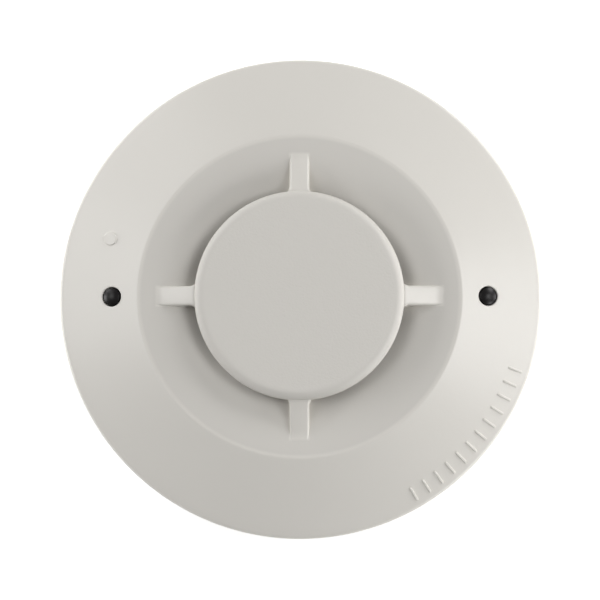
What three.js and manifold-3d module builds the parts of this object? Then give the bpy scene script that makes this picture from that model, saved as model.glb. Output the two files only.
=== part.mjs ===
// Plug-in electronic heat detector: a mounting base, a twist-lock head and a lift-off cover.
//
// Millimetres. The mounting face lies on Z = 0 and its centre is the origin. +Z points out of the
// mounting face through the heat sensor, so +Z points down once the detector hangs on a ceiling.
// The two indicator lamps lie on the X axis.

import * as THREE from 'three';
import { mergeVertices } from 'three/addons/utils/BufferGeometryUtils.js';
import Module from 'manifold-3d';

const wasm = await Module();
wasm.setup();

const radians = THREE.MathUtils.degToRad;

// ---------------------------------------------------------------- driving dimensions: overall
const OUTER_RADIUS = 52; // widest ring, where the front flange meets the side of the cover
const BASE_HEIGHT = 20.4; // mounting face to the rim of the base
const SIDE_HEIGHT = 23.4; // straight side of the cover
const REVEAL_GAP = 0.8; // shadow gap between base and cover
const TOUCH_GAP = 0.3; // left between pieces that touch
const RUN_GAP = 0.4; // left between pieces that turn past each other
const BURIED = 1; // how far a shape runs past the face that it joins or cuts

// ---------------------------------------------------------------- driving dimensions: cover
const COVER_WALL = 1.8;
const SIDE_DRAFT = 0.6; // how far the side leans in at its foot
const EDGE_FILLET = 0.9; // rolled edge between the side and the flange
const FLANGE_WIDTH = 17.3; // outer edge to the crest
const FLANGE_SLOPE = 15.5; // degrees
const CREST_FILLET = 1.8;
const RECESS_WIDTH = 14.2; // crest to the throat
const RECESS_DEPTH = 3.4; // crest to the throat
const RECESS_SLOPE = 3; // degrees, just inside the crest
const CAP_OVERHANG = 2.0; // edge of the cap beyond the throat
const CAP_RISE = 2.8; // top of the cap above the crest
const CAP_FILLET = 1.8;
const CAP_DEPTH = 2.6; // top of the cap to the foot of its rim
const CAP_WALL = 1.7;
const RIB_WIDTH = 4.2;
const RIB_DROP = 1.4; // top of a rib below the top of the cap
const RIB_SLOPE = 14; // degrees, downwards from the cap
const RIB_SINK = 2.2; // end of a rib to the crest, inside the wall of the recess
const LENS_RADIUS = 1.8;
const LENS_INSET = 11.5; // centre of a lens to the outer edge
const LENS_PROUD = 0.5;
const LENS_BOSS_WALL = 1.2;
const LENS_BOSS_LENGTH = 4;
const TICK_COUNT = 12;
const TICK_PITCH = 3.75; // degrees
const TICK_START = -60; // degrees
const TICK_LENGTH = 3.2;
const TICK_WIDTH = 0.55;
const TICK_INSET = 3.1; // middle of a tick to the outer edge
const MARK_HEIGHT = 0.25; // raised marks above the flange
const PIP_RADIUS = 1.5;
const PIP_ANGLE = 162.8; // degrees
const PIP_INSET = 9.2;

// ---------------------------------------------------------------- driving dimensions: base
const BASE_INSET = 1.0; // side of the base behind the widest ring
const BASE_WALL = 2.4;
const BASE_FLOOR = 2.4;
const BASE_DRAFT = 0.5;
const WIRE_ENTRY_RADIUS = 14;
const SLOT_WIDTH = 4.6;
const SLOTS = [ // one pair for each common box: inner and outer end of the slot
  { angle: 0, inner: 29.4, outer: 42.4 },
  { angle: 90, inner: 28, outer: 36 },
];
const KEYHOLE_RADIUS = 4.4; // lets a screw head through at the inner end
const LEDGE_INSET = 1; // top of a ledge below the rim of the base
const LEDGE_THICKNESS = 1.8;
const LEDGE_REACH = 3.3;
const LEDGE_COUNT = 3;
const LUG_THICKNESS = 2.1;
const LUG_HALF_ANGLE = 8; // degrees
const LEDGE_OVERRUN = 1; // degrees past the lug
const STOP_ANGLE = 3; // degrees
const LOCK_ANGLE = 90; // degrees, the first ledge

// ---------------------------------------------------------------- driving dimensions: terminals
const TERMINAL_COUNT = 4;
const TERMINAL_ANGLE = 45; // degrees, the first terminal
const METAL = 0.8; // thickness of the strips and blades
const JAW_INSET = 7.7; // outer wall of a jaw to the side of the plug
const JAW_LENGTH = 8; // along the turn of the head
const JAW_DEPTH = 6.7; // across it
const SCREW_OFFSET = 11.5; // screw to the middle of the jaw
const SCREW_RADIUS = 1.75;
const SCREW_POINT = 0.8; // chamfer at the end of the shank
const SCREW_HEAD_RADIUS = 3.2;
const SCREW_HEAD_HEIGHT = 2.2;
const SCREW_SLOT_WIDTH = 0.9;
const SCREW_SLOT_DEPTH = 1.1;
const CLAMP_SIZE = 8;
const CLAMP_THICKNESS = 1;
const CLAMP_TRAVEL = 1.2; // how far a clamp opens
const HEADROOM = 1; // over an opened terminal screw

// ---------------------------------------------------------------- driving dimensions: head
const PLUG_DEPTH = 7.2; // how far the head plugs into the base
const HOUSING_WALL = 1.8;
const HOUSING_FLOOR = 2;
const SPIGOT_HEIGHT = 4; // rim inside the foot of the cover
const BOARD_STANDOFF = 8;
const BOARD_THICKNESS = 1.6;
const BOARD_INSET = 0.8; // edge of the board to the spigot
const BOARD_SCREW_COUNT = 3;
const BOARD_SCREW_ANGLE = 30; // degrees, the first one
const BOARD_SCREW_INSET = 10.6; // to the edge of the board
const BOARD_SCREW_RADIUS = 1.3;
const BOARD_SCREW_HEAD_RADIUS = 2.7;
const BOARD_SCREW_HEAD_HEIGHT = 1.8;
const BOARD_SCREW_LENGTH = 7;
const BOARD_BOSS_WALL = 1.7;
const BLADE_WIDTH = 6;
const BLADE_SETBACK = 2.1; // standing leg of a blade to the jaw
const CARRIER_FOOT_RADIUS = 13;
const CARRIER_TUBE_RADIUS = 9.5;
const CARRIER_WALL = 1.5;
const CARRIER_OVERLAP = 1.4; // plate of the carrier under the edge of the throat
const AIR_GAP = 3.9; // throat to the plate of the carrier
const GROMMET_RADIUS = 2.6;
const GROMMET_FLANGE = 1.4;
const GROMMET_HEIGHT = 0.8;
const LEAD_RADIUS = 0.3;
const LEAD_SPACING = 2.6;
const BEAD_RADIUS = 1.25;
const BEAD_LENGTH = 3.6;
const BEAD_CLEARANCE = 3.2; // tip of the bead to the underside of the cap
const SWITCH_SIZE = 10;
const SWITCH_HEIGHT = 6.6;
const SWITCH_OFFSET = [8.5, 12];
const DIAL_RADIUS = 3.3;
const DIAL_RECESS = 0.6; // face of the dial behind the back of the housing
const DIAL_SLOT_LENGTH = 5.3;
const SPINDLE_RADIUS = 1.2;
const SPINDLE_LENGTH = 2.4;
const LED_RADIUS = 1.5;
const LED_HEIGHT = 4.4;
const LED_GAP = 0.8; // lamp to the light pipe
const LED_SHOULDER = 0.6; // height of the wider ring at its foot

// ---------------------------------------------------------------- circuit board layout, [x, y]
const CHIPS = { // width, depth, height and place of the plain packages
  microcontroller: { size: [10, 10, 1.6], at: [-19, 12] },
  line_driver: { size: [5, 4, 1.5], at: [-18, -2] },
  bridge_rectifier: { size: [6.4, 5, 2.6], at: [19, 9] },
  resistor_1: { size: [3.2, 1.6, 0.7], at: [-6, 22] },
  resistor_2: { size: [3.2, 1.6, 0.7], at: [0, 22] },
  resistor_3: { size: [3.2, 1.6, 0.7], at: [6, 22] },
};
const CAPACITORS = [
  { radius: 4, height: 11.5, at: [15, -17] },
  { radius: 3.15, height: 8, at: [25, -13] },
];
const CRYSTAL = { can: [10.2, 3.8, 3], flange: [11.2, 4.7, 0.5], flat: 0.4, at: [-20, -12] };
const SURGE = { radius: 4, thickness: 3, lift: 1.2, legSpacing: 5, at: [20, -2], angle: 90 };
const REED = { radius: 1.1, length: 13, lift: 1.6, leadReach: 2.4, at: [-12, -23], angle: -30 };

// ---------------------------------------------------------------- smoothness
const FINE = 60; // segments of the cover
const ROUND = 40; // segments of the base and the housing
const MEDIUM = 16; // segments of lenses, cans and discs
const SMALL = 12; // segments of screws and holes
const WIRE = 8; // segments of leads
const BEND = 3; // segments of a rounded corner
const DOME = 4; // segments of a quarter dome

// ---------------------------------------------------------------- derived radii
const CREST_RADIUS = OUTER_RADIUS - FLANGE_WIDTH;
const THROAT_RADIUS = CREST_RADIUS - RECESS_WIDTH;
const CAP_RADIUS = THROAT_RADIUS + CAP_OVERHANG;
const LENS_CENTRE = OUTER_RADIUS - LENS_INSET;
const LENS_HOLE_RADIUS = LENS_RADIUS + TOUCH_GAP;
const BASE_RADIUS = OUTER_RADIUS - BASE_INSET;
const RIM_INNER = BASE_RADIUS - BASE_WALL;
const LEDGE_INNER = RIM_INNER - LEDGE_REACH;
const PLUG_RADIUS = LEDGE_INNER - RUN_GAP;
const LUG_RADIUS = RIM_INNER - 2 * RUN_GAP;
const COVER_INNER = OUTER_RADIUS - SIDE_DRAFT - COVER_WALL;
const SPIGOT_RADIUS = COVER_INNER - RUN_GAP;
const BOARD_RADIUS = SPIGOT_RADIUS - HOUSING_WALL - BOARD_INSET;
const BOARD_SCREW_CENTRE = BOARD_RADIUS - BOARD_SCREW_INSET;
const JAW_OUTER = PLUG_RADIUS - JAW_INSET;
const JAW_INNER = JAW_OUTER - JAW_DEPTH;
const SCREW_HOLE_RADIUS = SCREW_RADIUS + TOUCH_GAP;
const SCREW_CENTRE = JAW_OUTER - CLAMP_SIZE / 2;
const BLADE_RADIUS = JAW_INNER - BLADE_SETBACK;

// ---------------------------------------------------------------- derived heights
const COVER_FOOT = BASE_HEIGHT + REVEAL_GAP;
const EDGE_Z = COVER_FOOT + SIDE_HEIGHT;
const SLOPE = Math.tan(radians(FLANGE_SLOPE));
const LEAN = Math.cos(radians(FLANGE_SLOPE));
const CREST_Z = EDGE_Z + EDGE_FILLET / LEAN + (FLANGE_WIDTH - EDGE_FILLET) * SLOPE;
const THROAT_Z = CREST_Z - RECESS_DEPTH;
const CAP_TOP = CREST_Z + CAP_RISE;
const CAP_FOOT = CAP_TOP - CAP_DEPTH;
const CAP_UNDERSIDE = CAP_TOP - CAP_WALL;
const PLUG_Z = COVER_FOOT - PLUG_DEPTH;
const HOUSING_FLOOR_TOP = PLUG_Z + HOUSING_FLOOR;
const BOARD_Z = HOUSING_FLOOR_TOP + BOARD_STANDOFF;
const BOARD_TOP = BOARD_Z + BOARD_THICKNESS;
const PART_Z = BOARD_TOP + TOUCH_GAP; // foot of every part that stands on the board
const CARRIER_TOP = THROAT_Z - AIR_GAP;
const LEDGE_TOP = BASE_HEIGHT - LEDGE_INSET;
const LEDGE_Z = LEDGE_TOP - LEDGE_THICKNESS;
const LUG_TOP = LEDGE_Z - TOUCH_GAP;
const LUG_Z = LUG_TOP - LUG_THICKNESS;
const SCREW_TOP = PLUG_Z - CLAMP_TRAVEL - HEADROOM;
const SCREW_HEAD_Z = SCREW_TOP - SCREW_HEAD_HEIGHT;
const CLAMP_TOP = SCREW_HEAD_Z - TOUCH_GAP;
const CLAMP_Z = CLAMP_TOP - CLAMP_THICKNESS;
const STRIP_TOP = CLAMP_Z - TOUCH_GAP;
const STRIP_Z = STRIP_TOP - METAL;
const PEDESTAL_TOP = STRIP_Z - TOUCH_GAP;
const BLADE_Z = STRIP_TOP + TOUCH_GAP;
const JAW_ROOF_Z = BLADE_Z + METAL + TOUCH_GAP;
const JAW_TOP = JAW_ROOF_Z + METAL;

// ---------------------------------------------------------------- materials
function plastic(color, roughness) {
  return new THREE.MeshStandardMaterial({ color, roughness, metalness: 0 });
}

function metal(color, roughness) {
  return new THREE.MeshStandardMaterial({ color, roughness, metalness: 1 });
}

const SHELL = plastic(0xdedbd3, 0.38);
const HOUSING = plastic(0xd6d3ca, 0.5);
const CARRIER = plastic(0xcfccc4, 0.5);
const BRASS = metal(0xc9a55c, 0.35);
const STEEL = metal(0xb9bcc0, 0.35);
const BOARD = plastic(0x1f5c38, 0.45);
const BLACK = plastic(0x1b1b1d, 0.55);
const SMOKED = plastic(0x121112, 0.08);
const RED_LAMP = plastic(0xb3262b, 0.15);
const SLEEVE = plastic(0x22303f, 0.35);
const WHITE = plastic(0xe8e6e0, 0.5);
const BLUE = plastic(0x2d5f9e, 0.45);
const GLASS = plastic(0x9fb8a4, 0.08);

// ---------------------------------------------------------------- joining and cutting
function solidOf(geometry) {
  const bare = geometry.clone();
  bare.deleteAttribute('normal');
  bare.deleteAttribute('uv');
  const merged = mergeVertices(bare);
  const corners = merged.index.array;
  const triangles = [];
  for (let i = 0; i < corners.length; i += 3) {
    const [a, b, c] = [corners[i], corners[i + 1], corners[i + 2]];
    if (a !== b && b !== c && c !== a) triangles.push(a, b, c);
  }
  return new wasm.Manifold(new wasm.Mesh({
    numProp: 3,
    vertProperties: Float32Array.from(merged.attributes.position.array),
    triVerts: Uint32Array.from(triangles),
  }));
}

function geometryOf(solid) {
  const mesh = solid.getMesh();
  const geometry = new THREE.BufferGeometry();
  geometry.setAttribute('position', new THREE.BufferAttribute(mesh.vertProperties, 3));
  geometry.setIndex(new THREE.BufferAttribute(mesh.triVerts, 1));
  geometry.computeVertexNormals();
  return geometry;
}

function join(first, ...others) {
  return geometryOf(others.reduce((sum, shape) => sum.add(solidOf(shape)), solidOf(first)));
}

function cut(shape, ...tools) {
  return geometryOf(tools.reduce((rest, tool) => rest.subtract(solidOf(tool)), solidOf(shape)));
}

// ---------------------------------------------------------------- shapes
// A profile of [radius, height] pairs, anticlockwise, turned about Z.
function turned(profile, segments) {
  const points = profile.map(([radius, z]) => new THREE.Vector2(radius, z));
  if (profile[0][0] > 0) points.push(points[0].clone());
  return new THREE.LatheGeometry(points, segments).rotateX(Math.PI / 2);
}

function disc(radius, z0, z1, segments = SMALL) {
  return turned([[0, z0], [radius, z0], [radius, z1], [0, z1]], segments);
}

function block(width, depth, z0, z1) {
  return new THREE.BoxGeometry(width, depth, z1 - z0).translate(0, 0, (z0 + z1) / 2);
}

function prism(shape, z0, z1, curveSegments = 6) {
  const options = { depth: z1 - z0, bevelEnabled: false, curveSegments };
  return new THREE.ExtrudeGeometry(shape, options).translate(0, 0, z0);
}

// An outline of [x, z] pairs, anticlockwise, as thick as width, centred on Y.
function slab(outline, width) {
  const shape = new THREE.Shape(outline.map(([x, z]) => new THREE.Vector2(x, z)));
  return prism(shape, -width / 2, width / 2).rotateX(Math.PI / 2);
}

function sector(inner, outer, fromAngle, toAngle, z0, z1) {
  const shape = new THREE.Shape();
  shape.absarc(0, 0, outer, radians(fromAngle), radians(toAngle), false);
  shape.absarc(0, 0, inner, radians(toAngle), radians(fromAngle), true);
  return prism(shape, z0, z1);
}

// A slot with round ends, from inner to outer along X.
function slot(inner, outer, width, z0, z1) {
  const r = width / 2;
  const shape = new THREE.Shape();
  shape.absarc(outer - r, 0, r, -Math.PI / 2, Math.PI / 2, false);
  shape.absarc(inner + r, 0, r, Math.PI / 2, 1.5 * Math.PI, false);
  return prism(shape, z0, z1);
}

function roundedBlock(width, depth, corner, z0, z1) {
  const [x, y] = [width / 2 - corner, depth / 2 - corner];
  const shape = new THREE.Shape();
  shape.absarc(x, y, corner, 0, 0.5 * Math.PI, false);
  shape.absarc(-x, y, corner, 0.5 * Math.PI, Math.PI, false);
  shape.absarc(-x, -y, corner, Math.PI, 1.5 * Math.PI, false);
  shape.absarc(x, -y, corner, 1.5 * Math.PI, 2 * Math.PI, false);
  return prism(shape, z0, z1, BEND);
}

// Points of an arc about [radius, z] in a profile, with angles in degrees.
function arc(centreRadius, centreZ, r, fromAngle, toAngle, steps) {
  return Array.from({ length: steps + 1 }, (_, i) => {
    const angle = radians(fromAngle + ((toAngle - fromAngle) * i) / steps);
    return [centreRadius + r * Math.cos(angle), centreZ + r * Math.sin(angle)];
  });
}

function turn(geometry, degrees) {
  return geometry.rotateZ(radians(degrees));
}

function evenly(count, start = 0) {
  return Array.from({ length: count }, (_, i) => start + (360 / count) * i);
}

function node(name, geometry, material) {
  const mesh = new THREE.Mesh(geometry, material);
  mesh.name = name;
  return mesh;
}

// ---------------------------------------------------------------- base
function baseShell() {
  const bowl = turned([
    [WIRE_ENTRY_RADIUS, 0],
    [BASE_RADIUS - BASE_DRAFT, 0],
    [BASE_RADIUS, BASE_HEIGHT],
    [RIM_INNER, BASE_HEIGHT],
    [RIM_INNER, BASE_FLOOR],
    [WIRE_ENTRY_RADIUS, BASE_FLOOR],
  ], ROUND);
  const stopEnd = -LUG_HALF_ANGLE - LEDGE_OVERRUN / 2;
  const ledges = evenly(LEDGE_COUNT, LOCK_ANGLE).flatMap((angle) => [
    turn(sector(LEDGE_INNER, RIM_INNER + BURIED, stopEnd - STOP_ANGLE,
      LUG_HALF_ANGLE + LEDGE_OVERRUN, LEDGE_Z, LEDGE_TOP), angle),
    turn(sector(LEDGE_INNER, RIM_INNER + BURIED, stopEnd - STOP_ANGLE, stopEnd,
      LUG_Z, LEDGE_Z + BURIED), angle),
  ]);
  const pedestals = evenly(TERMINAL_COUNT, TERMINAL_ANGLE).map((angle) => turn(pedestal(), angle));
  const body = join(bowl, ...ledges, ...pedestals);
  const through = [-BURIED, BASE_FLOOR + BURIED];
  const slots = SLOTS.flatMap(({ angle, inner, outer }) => [0, 180].flatMap((side) => [
    turn(slot(inner, outer, SLOT_WIDTH, ...through), angle + side),
    turn(disc(KEYHOLE_RADIUS, ...through).translate(inner, 0, 0), angle + side),
  ]));
  const screwHoles = evenly(TERMINAL_COUNT, TERMINAL_ANGLE).map((angle) => (
    turn(disc(SCREW_HOLE_RADIUS, BASE_FLOOR, PEDESTAL_TOP + BURIED)
      .translate(SCREW_CENTRE, -SCREW_OFFSET, 0), angle)
  ));
  return cut(body, ...slots, ...screwHoles);
}

function pedestal() {
  const start = -SCREW_OFFSET - CLAMP_SIZE / 2;
  const end = JAW_LENGTH / 2;
  return block(JAW_DEPTH, end - start, BASE_FLOOR / 2, PEDESTAL_TOP)
    .translate(JAW_OUTER - JAW_DEPTH / 2, (start + end) / 2, 0);
}

// ---------------------------------------------------------------- one terminal, on the X axis
function contactStrip() {
  const jaw = slab([
    [JAW_INNER, STRIP_Z],
    [JAW_OUTER, STRIP_Z],
    [JAW_OUTER, JAW_TOP],
    [JAW_INNER, JAW_TOP],
    [JAW_INNER, JAW_ROOF_Z],
    [JAW_OUTER - METAL, JAW_ROOF_Z],
    [JAW_OUTER - METAL, STRIP_TOP],
    [JAW_INNER, STRIP_TOP],
  ], JAW_LENGTH);
  const start = -SCREW_OFFSET - CLAMP_SIZE / 2;
  const pad = block(CLAMP_SIZE, -start, STRIP_Z, STRIP_TOP)
    .translate(SCREW_CENTRE, start / 2, 0);
  const hole = disc(SCREW_HOLE_RADIUS, STRIP_Z - METAL, STRIP_TOP + METAL)
    .translate(SCREW_CENTRE, -SCREW_OFFSET, 0);
  return cut(join(jaw, pad), hole);
}

// A square washer that presses the wire onto the strip.
function clampPlate() {
  const hole = disc(SCREW_HOLE_RADIUS, CLAMP_Z - METAL, CLAMP_TOP + METAL);
  return cut(block(CLAMP_SIZE, CLAMP_SIZE, CLAMP_Z, CLAMP_TOP), hole);
}

function terminalScrew() {
  const shankEnd = BASE_FLOOR + 2 * TOUCH_GAP;
  const shape = turned([
    [0, shankEnd],
    [SCREW_RADIUS - SCREW_POINT, shankEnd],
    [SCREW_RADIUS, shankEnd + SCREW_POINT],
    [SCREW_RADIUS, SCREW_HEAD_Z],
    [SCREW_HEAD_RADIUS, SCREW_HEAD_Z],
    [SCREW_HEAD_RADIUS, SCREW_TOP - SCREW_SLOT_DEPTH / 2],
    [SCREW_HEAD_RADIUS - SCREW_SLOT_DEPTH / 2, SCREW_TOP],
    [0, SCREW_TOP],
  ], SMALL);
  const driver = block(3 * SCREW_HEAD_RADIUS, SCREW_SLOT_WIDTH, SCREW_TOP - SCREW_SLOT_DEPTH,
    SCREW_TOP + SCREW_SLOT_DEPTH);
  return cut(shape, driver);
}

function terminal(number, angle) {
  const group = new THREE.Group();
  group.rotation.z = radians(angle);
  const onScrew = new THREE.Group();
  onScrew.position.set(SCREW_CENTRE, -SCREW_OFFSET, 0);
  onScrew.add(node(`clamp_plate_${number}`, clampPlate(), STEEL));
  onScrew.add(node(`terminal_screw_${number}`, terminalScrew(), STEEL));
  group.add(node(`contact_strip_${number}`, contactStrip(), BRASS), onScrew);
  return group;
}

// ---------------------------------------------------------------- head: housing and blades
function rearHousing() {
  const shelf = COVER_FOOT + HOUSING_WALL;
  const cup = turned([
    [0, PLUG_Z],
    [PLUG_RADIUS, PLUG_Z],
    [PLUG_RADIUS, COVER_FOOT],
    [SPIGOT_RADIUS, COVER_FOOT],
    [SPIGOT_RADIUS, shelf + SPIGOT_HEIGHT],
    [SPIGOT_RADIUS - HOUSING_WALL, shelf + SPIGOT_HEIGHT],
    [SPIGOT_RADIUS - HOUSING_WALL, shelf],
    [PLUG_RADIUS - HOUSING_WALL, shelf],
    [PLUG_RADIUS - HOUSING_WALL, HOUSING_FLOOR_TOP],
    [0, HOUSING_FLOOR_TOP],
  ], ROUND);
  const lugs = evenly(LEDGE_COUNT, LOCK_ANGLE).map((angle) => turn(sector(
    PLUG_RADIUS - BURIED, LUG_RADIUS, -LUG_HALF_ANGLE, LUG_HALF_ANGLE, LUG_Z, LUG_TOP), angle));
  const bossRadius = BOARD_SCREW_RADIUS + TOUCH_GAP + BOARD_BOSS_WALL;
  const atScrews = (shape) => evenly(BOARD_SCREW_COUNT, BOARD_SCREW_ANGLE)
    .map((angle) => turn(shape.clone().translate(BOARD_SCREW_CENTRE, 0, 0), angle));
  const bosses = atScrews(disc(bossRadius, PLUG_Z + BURIED, BOARD_Z - TOUCH_GAP));
  const bossHoles = atScrews(disc(BOARD_SCREW_RADIUS + TOUCH_GAP, HOUSING_FLOOR_TOP, BOARD_Z));
  const through = [PLUG_Z - BURIED, HOUSING_FLOOR_TOP + BURIED];
  const bladeSlots = evenly(TERMINAL_COUNT, TERMINAL_ANGLE).map((angle) => turn(
    block(METAL + 2 * TOUCH_GAP, BLADE_WIDTH + 2 * TOUCH_GAP, ...through)
      .translate(BLADE_RADIUS, 0, 0), angle));
  const dialWindows = [-1, 1].map((side) => disc(DIAL_RADIUS + RUN_GAP, ...through)
    .translate(side * SWITCH_OFFSET[0], SWITCH_OFFSET[1], 0));
  return cut(join(cup, ...lugs, ...bosses), ...bossHoles, ...bladeSlots, ...dialWindows);
}

// Stands through the floor of the housing and turns outwards into the jaw of its terminal.
function bladeContact() {
  const half = METAL / 2;
  const tip = JAW_OUTER - METAL - RUN_GAP;
  return slab([
    [BLADE_RADIUS - half, BLADE_Z],
    [tip, BLADE_Z],
    [tip, BLADE_Z + METAL],
    [BLADE_RADIUS + half, BLADE_Z + METAL],
    [BLADE_RADIUS + half, BOARD_Z - TOUCH_GAP],
    [BLADE_RADIUS - half, BOARD_Z - TOUCH_GAP],
  ], BLADE_WIDTH);
}

// ---------------------------------------------------------------- head: circuit board
function circuitBoard() {
  const holes = evenly(BOARD_SCREW_COUNT, BOARD_SCREW_ANGLE).map((angle) => turn(
    disc(BOARD_SCREW_RADIUS + TOUCH_GAP, BOARD_Z - BOARD_THICKNESS, BOARD_TOP + BOARD_THICKNESS)
      .translate(BOARD_SCREW_CENTRE, 0, 0), angle));
  return cut(disc(BOARD_RADIUS, BOARD_Z, BOARD_TOP, ROUND), ...holes);
}

function boardScrew() {
  const headTop = PART_Z + BOARD_SCREW_HEAD_HEIGHT;
  const shape = turned([
    [0, PART_Z - BOARD_SCREW_LENGTH],
    [BOARD_SCREW_RADIUS, PART_Z - BOARD_SCREW_LENGTH],
    [BOARD_SCREW_RADIUS, PART_Z],
    [BOARD_SCREW_HEAD_RADIUS, PART_Z],
    [BOARD_SCREW_HEAD_RADIUS, PART_Z + BOARD_SCREW_HEAD_HEIGHT / 2],
    [BOARD_SCREW_RADIUS, headTop],
    [0, headTop],
  ], SMALL);
  const recess = [headTop - BOARD_SCREW_HEAD_HEIGHT / 2, headTop + BOARD_SCREW_HEAD_HEIGHT];
  const arm = 2 * BOARD_SCREW_RADIUS;
  const across = block(arm, SCREW_SLOT_WIDTH, ...recess);
  return cut(shape, across, turn(across.clone(), 90));
}

// A sleeved can with a rolled neck near its foot.
function electrolyticCapacitor({ radius, height }) {
  const neck = 0.4;
  return turned([
    [0, PART_Z],
    [radius, PART_Z],
    [radius, PART_Z + 2 * neck],
    [radius - neck, PART_Z + 3 * neck],
    [radius, PART_Z + 4 * neck],
    [radius, PART_Z + height - neck],
    [radius - neck, PART_Z + height],
    [0, PART_Z + height],
  ], MEDIUM);
}

// A glass tube between two bent leads, along X.
function reedSwitch() {
  const { radius, length, lift, leadReach } = REED;
  const axis = PART_Z + lift;
  const tube = disc(radius, -length / 2, length / 2).rotateY(Math.PI / 2).translate(0, 0, axis);
  const wire = 2 * LEAD_RADIUS;
  const leads = [-1, 1].flatMap((side) => {
    const end = length / 2 + leadReach;
    const flat = block(2 * leadReach, wire, axis - LEAD_RADIUS, axis + LEAD_RADIUS)
      .translate(side * (end - leadReach), 0, 0);
    const foot = block(wire, wire, PART_Z, axis + LEAD_RADIUS).translate(side * end, 0, 0);
    return [flat, foot];
  });
  return join(tube, ...leads);
}

// A coated disc that stands on two short legs.
function surgeSuppressor() {
  const { radius, thickness, lift, legSpacing } = SURGE;
  const centre = PART_Z + lift + radius;
  const round = thickness / 4;
  const body = turned([
    [0, -thickness / 2],
    [radius - round, -thickness / 2],
    [radius, -round],
    [radius, round],
    [radius - round, thickness / 2],
    [0, thickness / 2],
  ], MEDIUM).rotateX(Math.PI / 2).translate(0, 0, centre);
  const wire = 2 * LEAD_RADIUS;
  const legs = [-1, 1].map((side) => block(wire, wire, PART_Z, centre)
    .translate((side * legSpacing) / 2, 0, 0));
  return join(body, ...legs);
}

function crystal() {
  const { can, flange, flat } = CRYSTAL;
  const layer = ([width, depth, height]) => roundedBlock(width, depth, (depth - flat) / 2, PART_Z,
    PART_Z + height);
  return join(layer(can), layer(flange));
}

function indicatorLed() {
  const ring = LED_RADIUS + LED_SHOULDER / 2;
  return turned([
    [0, PART_Z],
    [ring, PART_Z],
    [ring, PART_Z + LED_SHOULDER],
    [LED_RADIUS, PART_Z + LED_SHOULDER],
    ...arc(0, PART_Z + LED_HEIGHT - LED_RADIUS, LED_RADIUS, 0, 90, DOME),
  ], SMALL);
}

// ---------------------------------------------------------------- head: address switches
function addressSwitch() {
  const [bottom, top] = [BOARD_Z - TOUCH_GAP - SWITCH_HEIGHT, BOARD_Z - TOUCH_GAP];
  const socket = disc(SPINDLE_RADIUS + TOUCH_GAP, bottom - BURIED, bottom + SPINDLE_LENGTH);
  return cut(block(SWITCH_SIZE, SWITCH_SIZE, bottom, top), socket);
}

function addressDial() {
  const face = PLUG_Z + DIAL_RECESS;
  const rear = BOARD_Z - 2 * TOUCH_GAP - SWITCH_HEIGHT;
  const shape = turned([
    [0, face],
    [DIAL_RADIUS, face],
    [DIAL_RADIUS, rear],
    [SPINDLE_RADIUS, rear],
    [SPINDLE_RADIUS, rear + SPINDLE_LENGTH - TOUCH_GAP],
    [0, rear + SPINDLE_LENGTH - TOUCH_GAP],
  ], SMALL);
  const depth = (rear - face) / 2;
  const driver = block(DIAL_SLOT_LENGTH, SCREW_SLOT_WIDTH, face - depth, face + depth);
  const pointer = block(DIAL_RADIUS / 2, 2 * SCREW_SLOT_WIDTH, face - depth, face + depth)
    .translate(DIAL_RADIUS / 2, 0, 0);
  return cut(shape, driver, pointer);
}

// ---------------------------------------------------------------- head: heat sensor
function sensorCarrier() {
  const plateRadius = THROAT_RADIUS + CARRIER_OVERLAP;
  const tubeInner = CARRIER_TUBE_RADIUS - CARRIER_WALL;
  const hole = GROMMET_RADIUS + TOUCH_GAP;
  return turned([
    [tubeInner, PART_Z],
    [CARRIER_FOOT_RADIUS, PART_Z],
    [CARRIER_FOOT_RADIUS, PART_Z + CARRIER_WALL],
    [CARRIER_TUBE_RADIUS, PART_Z + CARRIER_WALL],
    [CARRIER_TUBE_RADIUS, CARRIER_TOP - CARRIER_WALL],
    [plateRadius, CARRIER_TOP - CARRIER_WALL],
    [plateRadius, CARRIER_TOP],
    [hole, CARRIER_TOP],
    [hole, CARRIER_TOP - CARRIER_WALL],
    [tubeInner, CARRIER_TOP - CARRIER_WALL],
  ], ROUND);
}

function sensorGrommet() {
  const flangeZ = CARRIER_TOP + TOUCH_GAP;
  const plug = turned([
    [0, CARRIER_TOP - CARRIER_WALL],
    [GROMMET_RADIUS, CARRIER_TOP - CARRIER_WALL],
    [GROMMET_RADIUS, flangeZ],
    [GROMMET_RADIUS + GROMMET_FLANGE, flangeZ],
    [GROMMET_RADIUS + GROMMET_FLANGE / 2, flangeZ + GROMMET_HEIGHT],
    [0, flangeZ + GROMMET_HEIGHT],
  ], MEDIUM);
  const leadHoles = [-1, 1].map((side) => disc(LEAD_RADIUS + TOUCH_GAP,
    CARRIER_TOP - 2 * CARRIER_WALL, flangeZ + 2 * GROMMET_HEIGHT, WIRE)
    .translate((side * LEAD_SPACING) / 2, 0, 0));
  return cut(plug, ...leadHoles);
}

// A coated bead held up by two leads that stand on the board.
function thermistor() {
  const tip = CAP_UNDERSIDE - BEAD_CLEARANCE;
  const foot = tip - BEAD_LENGTH;
  const bead = turned([
    ...arc(0, foot + BEAD_RADIUS, BEAD_RADIUS, -90, 0, DOME),
    ...arc(0, tip - BEAD_RADIUS, BEAD_RADIUS, 0, 90, DOME),
  ], SMALL);
  const collar = block(LEAD_SPACING + 2 * LEAD_RADIUS, 2 * LEAD_RADIUS, foot + LEAD_RADIUS,
    foot + 3 * LEAD_RADIUS);
  const leads = [-1, 1].map((side) => disc(LEAD_RADIUS, PART_Z, foot + 2 * LEAD_RADIUS, WIRE)
    .translate((side * LEAD_SPACING) / 2, 0, 0));
  return join(bead, collar, ...leads);
}

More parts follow.
